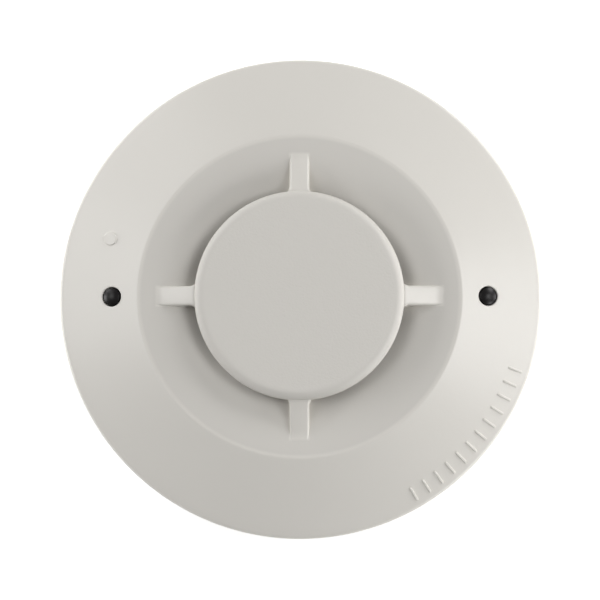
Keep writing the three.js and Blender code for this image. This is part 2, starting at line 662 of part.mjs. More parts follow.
// ---------------------------------------------------------------- cover
// Wall of the recess: almost level at the crest, and steepest at the throat.
function recessCurve() {
  const lean = radians(90 + RECESS_SLOPE);
  const top = new THREE.Vector2(CREST_RADIUS + CREST_FILLET * Math.cos(lean),
    CREST_Z - CREST_FILLET / LEAN + CREST_FILLET * Math.sin(lean));
  const middle = (top.x + THROAT_RADIUS) / 2;
  const bend = new THREE.Vector2(middle, top.y - (top.x - middle) * Math.tan(radians(RECESS_SLOPE)));
  return new THREE.QuadraticBezierCurve(top, bend, new THREE.Vector2(THROAT_RADIUS, THROAT_Z));
}

// Points [radius, z] along the recess, sunk below its surface.
function recessPoints(steps, sunk) {
  const curve = recessCurve();
  return Array.from({ length: steps }, (_, i) => {
    const along = (i + 1) / steps;
    const point = curve.getPoint(along);
    const tangent = curve.getTangent(along);
    return [point.x - tangent.y * sunk, point.y + tangent.x * sunk];
  });
}

function coverBody() {
  const outer = [
    [OUTER_RADIUS - SIDE_DRAFT, COVER_FOOT],
    ...arc(OUTER_RADIUS - EDGE_FILLET, EDGE_Z, EDGE_FILLET, 0, 90 - FLANGE_SLOPE, BEND),
    ...arc(CREST_RADIUS, CREST_Z - CREST_FILLET / LEAN, CREST_FILLET, 90 - FLANGE_SLOPE,
      90 + RECESS_SLOPE, BEND),
    ...recessPoints(BEND, 0),
  ];
  const inner = [
    ...recessPoints(BEND, COVER_WALL).reverse(),
    [CREST_RADIUS, CREST_Z - COVER_WALL / LEAN],
    [OUTER_RADIUS - COVER_WALL, flangeHeight(OUTER_RADIUS - COVER_WALL) - COVER_WALL / LEAN],
    [COVER_INNER, COVER_FOOT],
  ];
  return turned([...outer, ...inner], FINE);
}

function cap() {
  return turned([
    [0, CAP_UNDERSIDE],
    [CAP_RADIUS - CAP_WALL, CAP_UNDERSIDE],
    [CAP_RADIUS - CAP_WALL, CAP_FOOT],
    [CAP_RADIUS, CAP_FOOT],
    ...arc(CAP_RADIUS - CAP_FILLET, CAP_TOP - CAP_FILLET, CAP_FILLET, 0, 90, DOME),
    [0, CAP_TOP],
  ], FINE);
}

// A web from inside the rim of the cap, with its foot sunk into the wall of the recess.
function rib() {
  const start = CAP_RADIUS - CAP_WALL / 2;
  const end = CREST_RADIUS - RIB_SINK;
  const top = CAP_TOP - RIB_DROP;
  const fall = (end - CAP_RADIUS) * Math.tan(radians(RIB_SLOPE));
  return slab([
    [start, THROAT_Z],
    [end, CREST_Z - COVER_WALL],
    [end, top - fall],
    [CAP_RADIUS, top],
    [start, top],
  ], RIB_WIDTH);
}

function flangeHeight(radius) {
  return CREST_Z - (radius - CREST_RADIUS) * SLOPE;
}

// Puts a shape that stands on Z = 0 square onto the flange at a radius and an angle.
function onFlange(shape, radius, angle) {
  return turn(shape.rotateY(radians(FLANGE_SLOPE)).translate(radius, 0, flangeHeight(radius)), angle);
}

function raisedMarks() {
  const tick = (angle) => onFlange(block(TICK_LENGTH, TICK_WIDTH, -BURIED, MARK_HEIGHT),
    OUTER_RADIUS - TICK_INSET, angle);
  const ticks = Array.from({ length: TICK_COUNT }, (_, i) => tick(TICK_START + i * TICK_PITCH));
  const pip = onFlange(disc(PIP_RADIUS, -BURIED, MARK_HEIGHT), OUTER_RADIUS - PIP_INSET, PIP_ANGLE);
  return [...ticks, pip];
}

function coverShell() {
  const ribs = evenly(4).map((angle) => turn(rib(), angle));
  const bossRadius = LENS_HOLE_RADIUS + LENS_BOSS_WALL;
  const bosses = [0, 180].map((angle) => onFlange(
    disc(bossRadius, -LENS_BOSS_LENGTH - COVER_WALL / 2, -COVER_WALL / 2), LENS_CENTRE, angle));
  const holes = [0, 180].map((angle) => onFlange(
    disc(LENS_HOLE_RADIUS, -2 * LENS_BOSS_LENGTH, LENS_BOSS_LENGTH, MEDIUM), LENS_CENTRE, angle));
  return cut(join(coverBody(), cap(), ...ribs, ...bosses, ...raisedMarks()), ...holes);
}

// A domed lens with the light pipe that reaches down to its lamp.
function lampLens() {
  const drop = flangeHeight(LENS_CENTRE) - (PART_Z + LED_HEIGHT + LED_GAP);
  const length = drop / LEAN - LENS_RADIUS * SLOPE;
  const domeRadius = 2 * LENS_RADIUS;
  const half = Math.asin(LENS_RADIUS / domeRadius) * THREE.MathUtils.RAD2DEG;
  return turned([
    [0, -length],
    [LENS_RADIUS, -length],
    ...arc(0, LENS_PROUD - domeRadius, domeRadius, 90 - half, 90, DOME),
  ], MEDIUM);
}

// ---------------------------------------------------------------- assembly
function placed(mesh, [x, y], angle = 0) {
  mesh.position.set(x, y, 0);
  mesh.rotation.z = radians(angle);
  return mesh;
}

function polar(radius, degrees) {
  return [radius * Math.cos(radians(degrees)), radius * Math.sin(radians(degrees))];
}

function base() {
  const group = new THREE.Group();
  group.add(node('base_shell', baseShell(), HOUSING));
  evenly(TERMINAL_COUNT, TERMINAL_ANGLE).forEach((angle, i) => group.add(terminal(i + 1, angle)));
  return group;
}

function chips() {
  return Object.entries(CHIPS).map(([name, { size: [width, depth, height], at }]) => (
    placed(node(name, block(width, depth, PART_Z, PART_Z + height), BLACK), at)));
}

function boardParts() {
  const screws = evenly(BOARD_SCREW_COUNT, BOARD_SCREW_ANGLE).map((angle, i) => placed(
    node(`board_screw_${i + 1}`, boardScrew(), STEEL), polar(BOARD_SCREW_CENTRE, angle)));
  const capacitors = CAPACITORS.map((capacitor, i) => placed(
    node(`capacitor_${i + 1}`, electrolyticCapacitor(capacitor), SLEEVE), capacitor.at));
  return [
    node('circuit_board', circuitBoard(), BOARD),
    ...screws,
    ...chips(),
    ...capacitors,
    placed(node('crystal', crystal(), STEEL), CRYSTAL.at),
    placed(node('surge_suppressor', surgeSuppressor(), BLUE), SURGE.at, SURGE.angle),
    placed(node('reed_switch', reedSwitch(), GLASS), REED.at, REED.angle),
  ];
}

// A lamp stands under the foot of each light pipe.
function lamps() {
  const fall = flangeHeight(LENS_CENTRE) - PART_Z - LED_HEIGHT;
  return [['right', 0], ['left', 180]].map(([side, angle]) => placed(
    node(`led_${side}`, indicatorLed(), RED_LAMP), polar(LENS_CENTRE - fall * SLOPE, angle)));
}

function addressSwitches() {
  const [x, y] = SWITCH_OFFSET;
  return [['tens', -x], ['ones', x]].flatMap(([digit, across]) => [
    placed(node(`address_switch_${digit}`, addressSwitch(), BLACK), [across, y]),
    placed(node(`address_dial_${digit}`, addressDial(), WHITE), [across, y]),
  ]);
}

function head() {
  const group = new THREE.Group();
  group.add(node('rear_housing', rearHousing(), HOUSING));
  evenly(TERMINAL_COUNT, TERMINAL_ANGLE).forEach((angle, i) => {
    group.add(placed(node(`blade_contact_${i + 1}`, bladeContact(), BRASS), [0, 0], angle));
  });
  group.add(...boardParts(), ...lamps(), ...addressSwitches());
  group.add(node('sensor_carrier', sensorCarrier(), CARRIER));
  group.add(node('sensor_grommet', sensorGrommet(), BLACK));
  group.add(node('thermistor', thermistor(), BLACK));
  return group;
}

function cover() {
  const group = new THREE.Group();
  group.add(node('cover_shell', coverShell(), SHELL));
  [['right', 0], ['left', 180]].forEach(([side, angle]) => {
    const lens = onFlange(lampLens(), LENS_CENTRE, angle);
    group.add(node(`lamp_lens_${side}`, lens, SMOKED));
  });
  return group;
}

const heatDetector = new THREE.Group();
heatDetector.add(base(), head(), cover());

export default heatDetector;
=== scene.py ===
import math

import bmesh
import bpy
from mathutils import Matrix, Vector


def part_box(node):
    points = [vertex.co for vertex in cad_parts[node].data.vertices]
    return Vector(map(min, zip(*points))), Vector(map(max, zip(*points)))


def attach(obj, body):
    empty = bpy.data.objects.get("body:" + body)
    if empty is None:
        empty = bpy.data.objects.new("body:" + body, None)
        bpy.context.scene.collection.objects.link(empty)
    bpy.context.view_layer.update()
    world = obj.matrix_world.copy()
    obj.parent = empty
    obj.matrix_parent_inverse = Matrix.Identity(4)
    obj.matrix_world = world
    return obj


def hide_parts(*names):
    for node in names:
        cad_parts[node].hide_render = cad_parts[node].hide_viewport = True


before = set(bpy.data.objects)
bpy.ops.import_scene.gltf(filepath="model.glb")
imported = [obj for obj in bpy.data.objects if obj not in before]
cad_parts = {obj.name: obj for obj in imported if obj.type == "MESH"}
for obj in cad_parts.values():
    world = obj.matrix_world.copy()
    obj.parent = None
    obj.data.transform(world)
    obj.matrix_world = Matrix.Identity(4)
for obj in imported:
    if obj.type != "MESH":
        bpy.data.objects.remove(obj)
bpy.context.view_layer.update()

# Lengths below are millimetres in the frame's own axes; MM turns them into metres.
MM = 0.001
NEAR = 1e-6  # closer than this is the same point
FINE = 288  # steps round the cover and the base
ROUND = 96  # steps round the sensor carrier
MEDIUM = 64  # steps round lenses, dials and the grommet
SMALL = 40  # steps round screws, cans and holes
TINY = 24  # steps round lamps and cones of solder
THIN = 20  # steps round straight leads


def span(node):
    """Lowest and highest corner of a CAD node, in millimetres."""
    low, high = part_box(node)
    return low / MM, high / MM


def middle(node):
    low, high = span(node)
    return (low + high) / 2


def polar(radius, degrees):
    angle = math.radians(degrees)
    return Vector((radius * math.cos(angle), radius * math.sin(angle), 0))


# ---- meshes
def mesh_object(name, verts, faces):
    mesh = bpy.data.meshes.new(name)
    mesh.from_pydata([Vector(v) * MM for v in verts], [], faces)
    obj = bpy.data.objects.new(name, mesh)
    bpy.context.scene.collection.objects.link(obj)
    return obj


def lathe(name, profile, steps=SMALL):
    """Turns [radius, z] points, anticlockwise, about Z. The profile closes on itself or on the axis."""
    verts, rings = [], []
    for radius, z in profile:
        if radius < NEAR:
            rings.append([len(verts)] * steps)
            verts.append((0, 0, z))
            continue
        rings.append(list(range(len(verts), len(verts) + steps)))
        for i in range(steps):
            point = polar(radius, 360 * i / steps)
            verts.append((point.x, point.y, z))
    pairs = list(zip(rings, rings[1:]))
    if profile[0][0] > NEAR:
        pairs.append((rings[-1], rings[0]))
    faces = []
    for lower, upper in pairs:
        for i in range(steps):
            j = (i + 1) % steps
            corners = [lower[i], lower[j], upper[j], upper[i]]
            unique = list(dict.fromkeys(corners))
            if len(unique) > 2:
                faces.append(unique)
    return mesh_object(name, verts, faces)


def arc(centre, radius, start, end, steps=6):
    """Points of an arc in a profile, with angles in degrees."""
    points = []
    for i in range(steps + 1):
        angle = math.radians(start + (end - start) * i / steps)
        points.append((centre[0] + radius * math.cos(angle), centre[1] + radius * math.sin(angle)))
    return points


def curve_point(start, bend, end, t):
    """A point on the curve that leaves start towards bend and comes into end from it."""
    return start * (1 - t) ** 2 + bend * 2 * t * (1 - t) + end * t * t


def rounded(profile, radius, steps=3):
    """Rounds every corner of a closed profile that isn't on the axis."""
    points = [Vector(p) for p in profile]
    result = []
    for i, corner in enumerate(points):
        before, after = points[i - 1], points[(i + 1) % len(points)]
        to_before, to_after = before - corner, after - corner
        if corner.x < NEAR or to_before.length < NEAR or to_after.length < NEAR:
            result.append(tuple(corner))
            continue
        reach = min(radius, 0.45 * to_before.length, 0.45 * to_after.length)
        start = corner + to_before.normalized() * reach
        end = corner + to_after.normalized() * reach
        for k in range(steps + 1):
            result.append(tuple(curve_point(start, corner, end, k / steps)))
    return result


def slab(name, outline, z0, z1, bevel=0.0, axis="Z"):
    """An anticlockwise outline as a plate, from z0 to z1 along Z, or along Y for an XZ outline."""
    count = len(outline)
    verts = [(x, y, z0) for x, y in outline] + [(x, y, z1) for x, y in outline]
    faces = [list(range(count))[::-1], list(range(count, 2 * count))]
    faces += [[i, (i + 1) % count, (i + 1) % count + count, i + count] for i in range(count)]
    obj = mesh_object(name, verts, faces)
    if bevel:
        bevel_edges(obj, bevel)
    if axis == "Y":
        obj.data.transform(Matrix.Rotation(math.radians(90), 4, "X"))
    return obj


def bevel_edges(obj, width, segments=2, least_angle=25):
    bm = bmesh.new()
    bm.from_mesh(obj.data)
    sharp = [e for e in bm.edges if e.is_manifold and e.calc_face_angle() > math.radians(least_angle)]
    bmesh.ops.bevel(bm, geom=sharp, offset=width * MM, segments=segments, affect="EDGES", profile=0.5,
                    clamp_overlap=True)
    bm.to_mesh(obj.data)
    bm.free()


def block(name, size, centre=(0, 0, 0), bevel=0.15):
    x, y = size[0] / 2, size[1] / 2
    outline = [(-x, -y), (x, -y), (x, y), (-x, y)]
    obj = slab(name, outline, -size[2] / 2, size[2] / 2, bevel)
    return moved(obj, centre)


def sector(name, inner, outer, start, end, z0, z1, bevel=0.0, steps=14):
    """A part of a flat ring, between two radii and two angles."""
    outline = arc((0, 0), outer, start, end, steps) + arc((0, 0), inner, end, start, steps)
    return slab(name, outline, z0, z1, bevel)


def hole_through(radius, low, high):
    """A round cutter on the axis."""
    return lathe("hole", [(0, low), (radius, low), (radius, high), (0, high)])


def transformed(obj, matrix):
    obj.data.transform(matrix)
    return obj


def moved(obj, offset):
    return transformed(obj, Matrix.Translation(Vector(offset) * MM))


def over(obj, centre):
    """Moves a shape that stands on the axis to stand over a centre."""
    return moved(obj, (centre.x, centre.y, 0))


def lathe_at(name, profile, centre):
    """A small lathed shape at a centre."""
    return moved(lathe(name, profile, TINY), centre)


def turned(obj, degrees, axis="Z"):
    return transformed(obj, Matrix.Rotation(math.radians(degrees), 4, axis))


def evenly(count, start=0):
    return [start + 360 / count * i for i in range(count)]


def remove(obj):
    bpy.data.objects.remove(obj)


def merge(name, objects):
    """Several separate meshes as one object, with no boolean."""
    bm = bmesh.new()
    for obj in objects:
        bm.from_mesh(obj.data)
        remove(obj)
    mesh = bpy.data.meshes.new(name)
    bm.to_mesh(mesh)
    bm.free()
    obj = bpy.data.objects.new(name, mesh)
    bpy.context.scene.collection.objects.link(obj)
    return obj


def combine(target, tool, operation):
    modifier = target.modifiers.new("combine", "BOOLEAN")
    modifier.operation = operation
    modifier.solver = "EXACT"
    modifier.object = tool
    evaluated = target.evaluated_get(bpy.context.evaluated_depsgraph_get())
    mesh = bpy.data.meshes.new_from_object(evaluated)
    target.modifiers.clear()
    target.data = mesh
    remove(tool)
    return target


def join(target, *tools):
    for tool in tools:
        combine(target, tool, "UNION")
    return target


def cut(target, *tools):
    for tool in tools:
        combine(target, tool, "DIFFERENCE")
    return target


def smooth(obj, angle=32):
    mesh = obj.data
    mesh.polygons.foreach_set("use_smooth", [True] * len(mesh.polygons))
    mesh.set_sharp_from_angle(angle=math.radians(angle))
    return obj


def piece(obj, name, body, slot, material, *nodes):
    """Names a finished piece, gives it its material, and ties it to its body and CAD nodes."""
    obj.name = name
    obj.data.name = name
    obj.data.materials.clear()
    obj.data.materials.append(material)
    smooth(obj)
    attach(obj, body)
    if nodes:
        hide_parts(*nodes)
    return obj


# ---- sizes
LOW, HIGH = span("cover_shell")
OUTER = HIGH.x
FOOT = LOW.z
TOP = HIGH.z
WALL = 1.8
SIDE_DRAFT = 0.6
EDGE_FILLET = 0.9
FLANGE_WIDTH = 17.3
FLANGE_SLOPE = 15.5
CREST_FILLET = 1.8
CAP_RISE = 2.8
CREST = OUTER - FLANGE_WIDTH
CREST_Z = TOP - CAP_RISE
RECESS_WIDTH = 14.2
RECESS_DEPTH = 3.4
THROAT = CREST - RECESS_WIDTH
THROAT_Z = CREST_Z - RECESS_DEPTH
THROAT_FILLET = 0.35
RECESS_SLOPE = 3
CAP_OVERHANG = 2.0
CAP = THROAT + CAP_OVERHANG
CAP_FILLET = 1.8
CAP_DEPTH = 2.6
CAP_WALL = 1.7
RIB_WIDTH = 4.2
RIB_SINK = 1.4  # top of a rib below the top of the cap
RIB_TOP = TOP - RIB_SINK
RIB_SLOPE = 14
RIB_END = 31.2  # where a rib runs out on the recess
LENS_INSET = 11.5
LENS_CENTRE = OUTER - LENS_INSET
LENS_HOLE = 2.1
LENS_RADIUS = 1.8
LENS_PROUD = 0.5
SLOPE = math.tan(math.radians(FLANGE_SLOPE))
LEAN = math.cos(math.radians(FLANGE_SLOPE))
EDGE_Z = CREST_Z - EDGE_FILLET / LEAN - (FLANGE_WIDTH - EDGE_FILLET) * SLOPE


def flange_height(radius):
    return CREST_Z - (radius - CREST) * SLOPE


def on_flange(obj, radius, degrees):
    """Puts a shape that stands on Z = 0 square onto the flange."""
    turned(obj, FLANGE_SLOPE, "Y")
    moved(obj, (radius, 0, flange_height(radius)))
    return turned(obj, degrees)


# ---- materials
def shader(name):
    material = bpy.data.materials.new(name)
    material.use_nodes = True
    return material, material.node_tree, material.node_tree.nodes["Principled BSDF"]


def add(tree, kind, values=None, **settings):
    item = tree.nodes.new(kind)
    for key, value in settings.items():
        setattr(item, key, value)
    for key, value in (values or {}).items():
        if isinstance(value, bpy.types.NodeSocket):
            tree.links.new(value, item.inputs[key])
        else:
            item.inputs[key].default_value = value
    return item


def noise(tree, vector, scale, detail=2.0):
    """Noise whose grains are about 1 / scale metres across."""
    values = {"Vector": vector, "Scale": scale, "Detail": detail}
    return add(tree, "ShaderNodeTexNoise", values).outputs["Fac"]


def math_node(tree, operation, first, second=0.0):
    return add(tree, "ShaderNodeMath", {0: first, 1: second}, operation=operation).outputs[0]


def remap(tree, value, low, high, to_low=0.0, to_high=1.0, smoothly=False):
    kind = "SMOOTHSTEP" if smoothly else "LINEAR"
    return add(tree, "ShaderNodeMapRange", {"Value": value, "From Min": low, "From Max": high,
                                            "To Min": to_low, "To Max": to_high},
               interpolation_type=kind).outputs["Result"]


def mix_colors(tree, factor, first, second):
    mixed = add(tree, "ShaderNodeMix", data_type="RGBA")
    for socket, value in (("Factor_Float", factor), ("A_Color", first), ("B_Color", second)):
        target = next(s for s in mixed.inputs if s.identifier == socket)
        if isinstance(value, bpy.types.NodeSocket):
            tree.links.new(value, target)
        else:
            target.default_value = value
    return next(s for s in mixed.outputs if s.identifier == "Result_Color")


def bumped(tree, principled, height, distance):
    bump = add(tree, "ShaderNodeBump", {"Height": height, "Distance": distance, "Strength": 1.0})
    tree.links.new(bump.outputs["Normal"], principled.inputs["Normal"])


def object_place(tree):
    return add(tree, "ShaderNodeTexCoord").outputs["Object"]


def shade_of(color, factor):
    return tuple(c * factor for c in color[:3]) + (1.0,)


def moulded(name, color, roughness, grain=2200, depth=0.000012, mottle=0.03):
    """Moulded plastic with a fine grain and a faint unevenness in tone and gloss."""
    material, tree, principled = shader(name)
    place = object_place(tree)
    cloud = noise(tree, place, 70, 3.0)
    tone = mix_colors(tree, cloud, shade_of(color, 1 - mottle), shade_of(color, 1 + mottle))
    tree.links.new(tone, principled.inputs["Base Color"])
    gloss = remap(tree, noise(tree, place, grain / 4), 0.3, 0.7, roughness - 0.04, roughness + 0.04)
    tree.links.new(gloss, principled.inputs["Roughness"])
    bumped(tree, principled, noise(tree, place, grain), depth)
    return material


def metal(name, color, roughness, grain=900, depth=0.000006):
    """Stamped or plated metal with rolling marks along X."""
    material, tree, principled = shader(name)
    principled.inputs["Metallic"].default_value = 1.0
    place = object_place(tree)
    stretch = add(tree, "ShaderNodeVectorMath", {0: place, 1: (0.15, 1.0, 1.0)}, operation="MULTIPLY")
    streak = noise(tree, stretch.outputs[0], grain, 3.0)
    tone = mix_colors(tree, streak, shade_of(color, 0.86), shade_of(color, 1.08))
    tree.links.new(tone, principled.inputs["Base Color"])
    gloss = remap(tree, streak, 0.3, 0.7, roughness - 0.06, roughness + 0.1)
    tree.links.new(gloss, principled.inputs["Roughness"])
    bumped(tree, principled, streak, depth)
    return material


SHELL_COLOR = (0.80, 0.775, 0.725, 1.0)
# Recess colour, darker than the flange: partly its own tone, partly painted shade of the hollow round the
# cap.
RECESS_TONE_AND_SHADE = (0.705, 0.682, 0.638, 1.0)
CAP_COLOR = (0.730, 0.707, 0.662, 1.0)
FLANGE_ROUGHNESS = 0.28
RECESS_ROUGHNESS = 0.6
SKIN_RELIEF = 0.35  # share of RELIEF all over the cover
CAP_RELIEF = 1.6  # and on top of it on the cap
RELIEF = 0.00003  # metres


def rib_mask(tree, place):
    """1 on the four ribs, 0 beside them and past their outer ends."""
    absolute = add(tree, "ShaderNodeVectorMath", {0: place}, operation="ABSOLUTE").outputs[0]
    axes = add(tree, "ShaderNodeSeparateXYZ", {0: absolute}).outputs
    beside = math_node(tree, "MINIMUM", axes["X"], axes["Y"])
    along = math_node(tree, "MAXIMUM", axes["X"], axes["Y"])
    half = RIB_WIDTH / 2
    across = remap(tree, beside, half * MM, (half + 0.3) * MM, 1.0, 0.0)
    past_cap = remap(tree, along, CAP * MM, (CAP + 0.5) * MM)
    before_end = remap(tree, along, (RIB_END - 0.6) * MM, RIB_END * MM, 1.0, 0.0)
    return math_node(tree, "MULTIPLY", math_node(tree, "MULTIPLY", across, past_cap), before_end)


def shell_material():
    """Satin flange and ribs, a low-gloss recess, and a low-gloss cap with a fine grain. The recess is
    coloured darker than the flange: partly its own tone, partly painted shade of the hollow round the cap.
    """
    material, tree, principled = shader("shell_plastic")
    place = object_place(tree)
    flat = add(tree, "ShaderNodeVectorMath", {0: place, 1: (1.0, 1.0, 0.0)}, operation="MULTIPLY").outputs[0]
    radius = add(tree, "ShaderNodeVectorMath", {0: flat}, operation="LENGTH").outputs["Value"]
    edge = CAP - CAP_FILLET
    on_cap = remap(tree, radius, (edge - 0.6) * MM, (edge + 0.6) * MM, 1.0, 0.0, smoothly=True)
    in_recess = remap(tree, radius, (CREST - 0.9) * MM, CREST * MM, 1.0, 0.0, smoothly=True)
    off_ribs = math_node(tree, "SUBTRACT", 1.0, rib_mask(tree, place))
    # Mask of the recess and cap, off the ribs. It gives them low gloss, and it lays on the darker recess
    # colour, which is partly painted shade.
    matt_and_shade = math_node(tree, "MULTIPLY", in_recess, off_ribs)
    cloud = noise(tree, place, 45, 3.0)
    tone = mix_colors(tree, cloud, shade_of(SHELL_COLOR, 0.985), shade_of(SHELL_COLOR, 1.015))
    # Painted shade: the recess is coloured darker than the flange. This is partly its own tone and partly
    # shade of the hollow round the cap.
    tone = mix_colors(tree, matt_and_shade, tone, RECESS_TONE_AND_SHADE)
    tone = mix_colors(tree, on_cap, tone, CAP_COLOR)
    tree.links.new(tone, principled.inputs["Base Color"])
    gloss = remap(tree, matt_and_shade, 0.0, 1.0, FLANGE_ROUGHNESS, RECESS_ROUGHNESS)
    tree.links.new(gloss, principled.inputs["Roughness"])
    skin = math_node(tree, "MULTIPLY", noise(tree, place, 1500, 2.0), SKIN_RELIEF)
    grain = math_node(tree, "MULTIPLY", noise(tree, place, 2600, 3.0), on_cap)
    grain = math_node(tree, "MULTIPLY", grain, CAP_RELIEF)
    bumped(tree, principled, math_node(tree, "ADD", skin, grain), RELIEF)
    return material


RESIN_IOR = 1.49


def clear_tint(name, color, roughness, transmission, shine=0.5):
    """Tinted glass or resin with faint swirls. Transmission is the share of light it lets through."""
    material, tree, principled = shader(name)
    principled.inputs["Transmission Weight"].default_value = transmission
    principled.inputs["IOR"].default_value = RESIN_IOR
    principled.inputs["Specular IOR Level"].default_value = shine
    place = object_place(tree)
    swirl = noise(tree, place, 500, 2.0)
    tone = mix_colors(tree, swirl, shade_of(color, 0.85), shade_of(color, 1.15))
    tree.links.new(tone, principled.inputs["Base Color"])
    tree.links.new(remap(tree, swirl, 0.3, 0.7, roughness, roughness + 0.05), principled.inputs["Roughness"])
    bumped(tree, principled, swirl, 0.00001)
    return material


def board_material():
    """Green solder mask over copper: tracks as a fine net of lines, and a woven laminate below."""
    material, tree, principled = shader("board_laminate")
    place = object_place(tree)
    tracks = add(tree, "ShaderNodeTexBrick", {"Vector": place, "Scale": 110.0, "Mortar Size": 0.06,
                                              "Mortar Smooth": 0.0, "Bias": 0.0, "Brick Width": 0.9,
                                              "Row Height": 0.22}).outputs["Fac"]
    islands = remap(tree, noise(tree, place, 160, 1.0), 0.46, 0.5)
    copper = math_node(tree, "MULTIPLY", tracks, islands)
    weave = noise(tree, place, 1800, 1.0)
    mask = mix_colors(tree, weave, (0.010, 0.085, 0.034, 1.0), (0.014, 0.105, 0.042, 1.0))
    tone = mix_colors(tree, copper, mask, (0.035, 0.20, 0.075, 1.0))
    tree.links.new(tone, principled.inputs["Base Color"])
    principled.inputs["Roughness"].default_value = 0.28
    height = math_node(tree, "ADD", copper, math_node(tree, "MULTIPLY", weave, 0.2))
    bumped(tree, principled, height, 0.00003)
    return material


SHELL = shell_material()
HOUSING = moulded("housing_plastic", (0.74, 0.715, 0.66), 0.42)
CARRIER = moulded("carrier_plastic", (0.62, 0.60, 0.56), 0.5)
BRASS = metal("terminal_brass", (0.80, 0.58, 0.27), 0.28)
STEEL = metal("plated_steel", (0.62, 0.63, 0.64), 0.3)
BOARD = board_material()
CHIP = moulded("chip_plastic", (0.016, 0.016, 0.018), 0.55, grain=3500)
SLEEVE = moulded("capacitor_sleeve", (0.012, 0.018, 0.05), 0.3, grain=900)
COATING = moulded("suppressor_coating", (0.018, 0.085, 0.32), 0.3, grain=700, depth=0.00003)
GLASS = clear_tint("reed_glass", (0.55, 0.78, 0.60), 0.03, 0.85)
LENS = clear_tint("lamp_lens", (0.014, 0.013, 0.013), 0.32, 0.0, shine=0.3)
LAMP = clear_tint("lamp_body", (0.62, 0.03, 0.03), 0.06, 0.35)
SWITCH = moulded("switch_plastic", (0.02, 0.02, 0.022), 0.5, grain=3000)
DIAL_WHITE = moulded("dial_plastic", (0.78, 0.76, 0.70), 0.45)
EPOXY = moulded("sensor_epoxy", (0.02, 0.016, 0.014), 0.22, grain=600, depth=0.00003)
RUBBER = moulded("grommet_rubber", (0.016, 0.016, 0.016), 0.75, grain=2600, depth=0.00002)


# ---- camera, floor and lights
CAMERA_DISTANCE = 600.0
CAMERA_TILT = 4.9  # towards the foot of the picture
CAMERA_SIDE = 1.4  # towards its right
FACE_RADIUS_IN_FRAME = 240.3 / 300
FRAME_SHIFT = -0.0035
SENSOR = 36.0
FLOOR_RADIUS = 3000.0
FLOOR_DEPTH = 4.0
FLOOR_GAP = 0.05
FLOOR_GLOW = 0.46
WORLD_STRENGTH = 0.02
LIGHT_DISTANCE = 600.0
SOFTBOX = 260.0  # width and height of every light
LIGHTS = [  # name, azimuth, elevation, watts
    ("right_high", 0, 55, 0.94),
    ("right_low", 0, 8, 0.95),
    ("top_right", 45, 20, 1.36),
    ("top_left_high", 135, 38, 0.38),
    ("top_left_low", 140, 8, 0.80),
    ("left_high", 168, 55, 0.68),
    ("left_low", 180, 8, 1.41),
    ("foot_right", 315, 20, 1.14),
]


TARGET = Vector((0, 0, EDGE_Z)) * MM


def studio():
    scene = bpy.context.scene
    scene.view_settings.view_transform = "Standard"
    back = Vector((math.tan(math.radians(CAMERA_SIDE)), -math.tan(math.radians(CAMERA_TILT)), 1)).normalized()
    right = Vector((0, 1, 0)).cross(back).normalized()
    facing = Matrix((right, back.cross(right), back)).transposed().to_4x4()
    camera = bpy.data.objects.new("camera", bpy.data.cameras.new("camera"))
    camera.matrix_world = Matrix.Translation(TARGET + back * CAMERA_DISTANCE * MM) @ facing
    camera.data.sensor_width = SENSOR
    camera.data.lens = FACE_RADIUS_IN_FRAME * SENSOR / 2 * CAMERA_DISTANCE / OUTER
    camera.data.shift_y = FRAME_SHIFT
    camera.data.clip_start = 0.01
    scene.collection.objects.link(camera)
    scene.camera = camera

    world = bpy.data.worlds.new("studio")
    world.use_nodes = True
    background = world.node_tree.nodes["Background"]
    background.inputs["Color"].default_value = (1.0, 0.99, 0.975, 1.0)
    background.inputs["Strength"].default_value = WORLD_STRENGTH
    scene.world = world


def lights():
    for name, azimuth, elevation, watts in LIGHTS:
        light = bpy.data.lights.new(name, "AREA")
        light.shape = "SQUARE"
        light.size = SOFTBOX * MM
        light.energy = watts
        lamp = bpy.data.objects.new(name, light)
        direction = polar(math.cos(math.radians(elevation)), azimuth)
        direction.z = math.sin(math.radians(elevation))
        lamp.location = TARGET + direction * LIGHT_DISTANCE * MM
        lamp.rotation_euler = direction.to_track_quat("Z", "Y").to_euler()
        lamp.visible_camera = False
        bpy.context.scene.collection.objects.link(lamp)


def ground():
    outline = arc((0, 0), FLOOR_RADIUS, 0, 360 - 360 / ROUND, ROUND - 1)
    floor = slab("floor", outline, -FLOOR_GAP - FLOOR_DEPTH, -FLOOR_GAP)
    material, tree, principled = shader("floor")
    place = object_place(tree)
    tone = mix_colors(tree, noise(tree, place, 12, 3.0), (0.90, 0.90, 0.895, 1.0), (0.93, 0.93, 0.925, 1.0))
    tree.links.new(tone, principled.inputs["Base Color"])
    principled.inputs["Roughness"].default_value = 0.9
    principled.inputs["Emission Color"].default_value = (1.0, 1.0, 1.0, 1.0)
    principled.inputs["Emission Strength"].default_value = FLOOR_GLOW
    floor.data.materials.append(material)


# ---- cover
def recess_points(steps, sunk=0.0):
    """The bowl from the crest to the throat, sunk below its surface."""
    lean = math.radians(90 + RECESS_SLOPE)
    top = Vector((CREST + CREST_FILLET * math.cos(lean),
                  CREST_Z - CREST_FILLET / LEAN + CREST_FILLET * math.sin(lean)))
    end = Vector((THROAT, THROAT_Z))
    halfway = (top.x + end.x) / 2
    bend = Vector((halfway, top.y - (top.x - halfway) * math.tan(math.radians(RECESS_SLOPE))))
    points = []
    for i in range(steps + 1):
        t = i / steps
        point = curve_point(top, bend, end, t)
        tangent = ((bend - top) * (1 - t) + (end - bend) * t).normalized()
        points.append((point.x - tangent.y * sunk, point.y + tangent.x * sunk))
    return points


def recess_height(radius):
    points = recess_points(40)
    for (r0, z0), (r1, z1) in zip(points, points[1:]):
        if r1 <= radius <= r0:
            return z0 + (z1 - z0) * (r0 - radius) / (r0 - r1)
    return points[0][1] if radius > points[0][0] else points[-1][1]


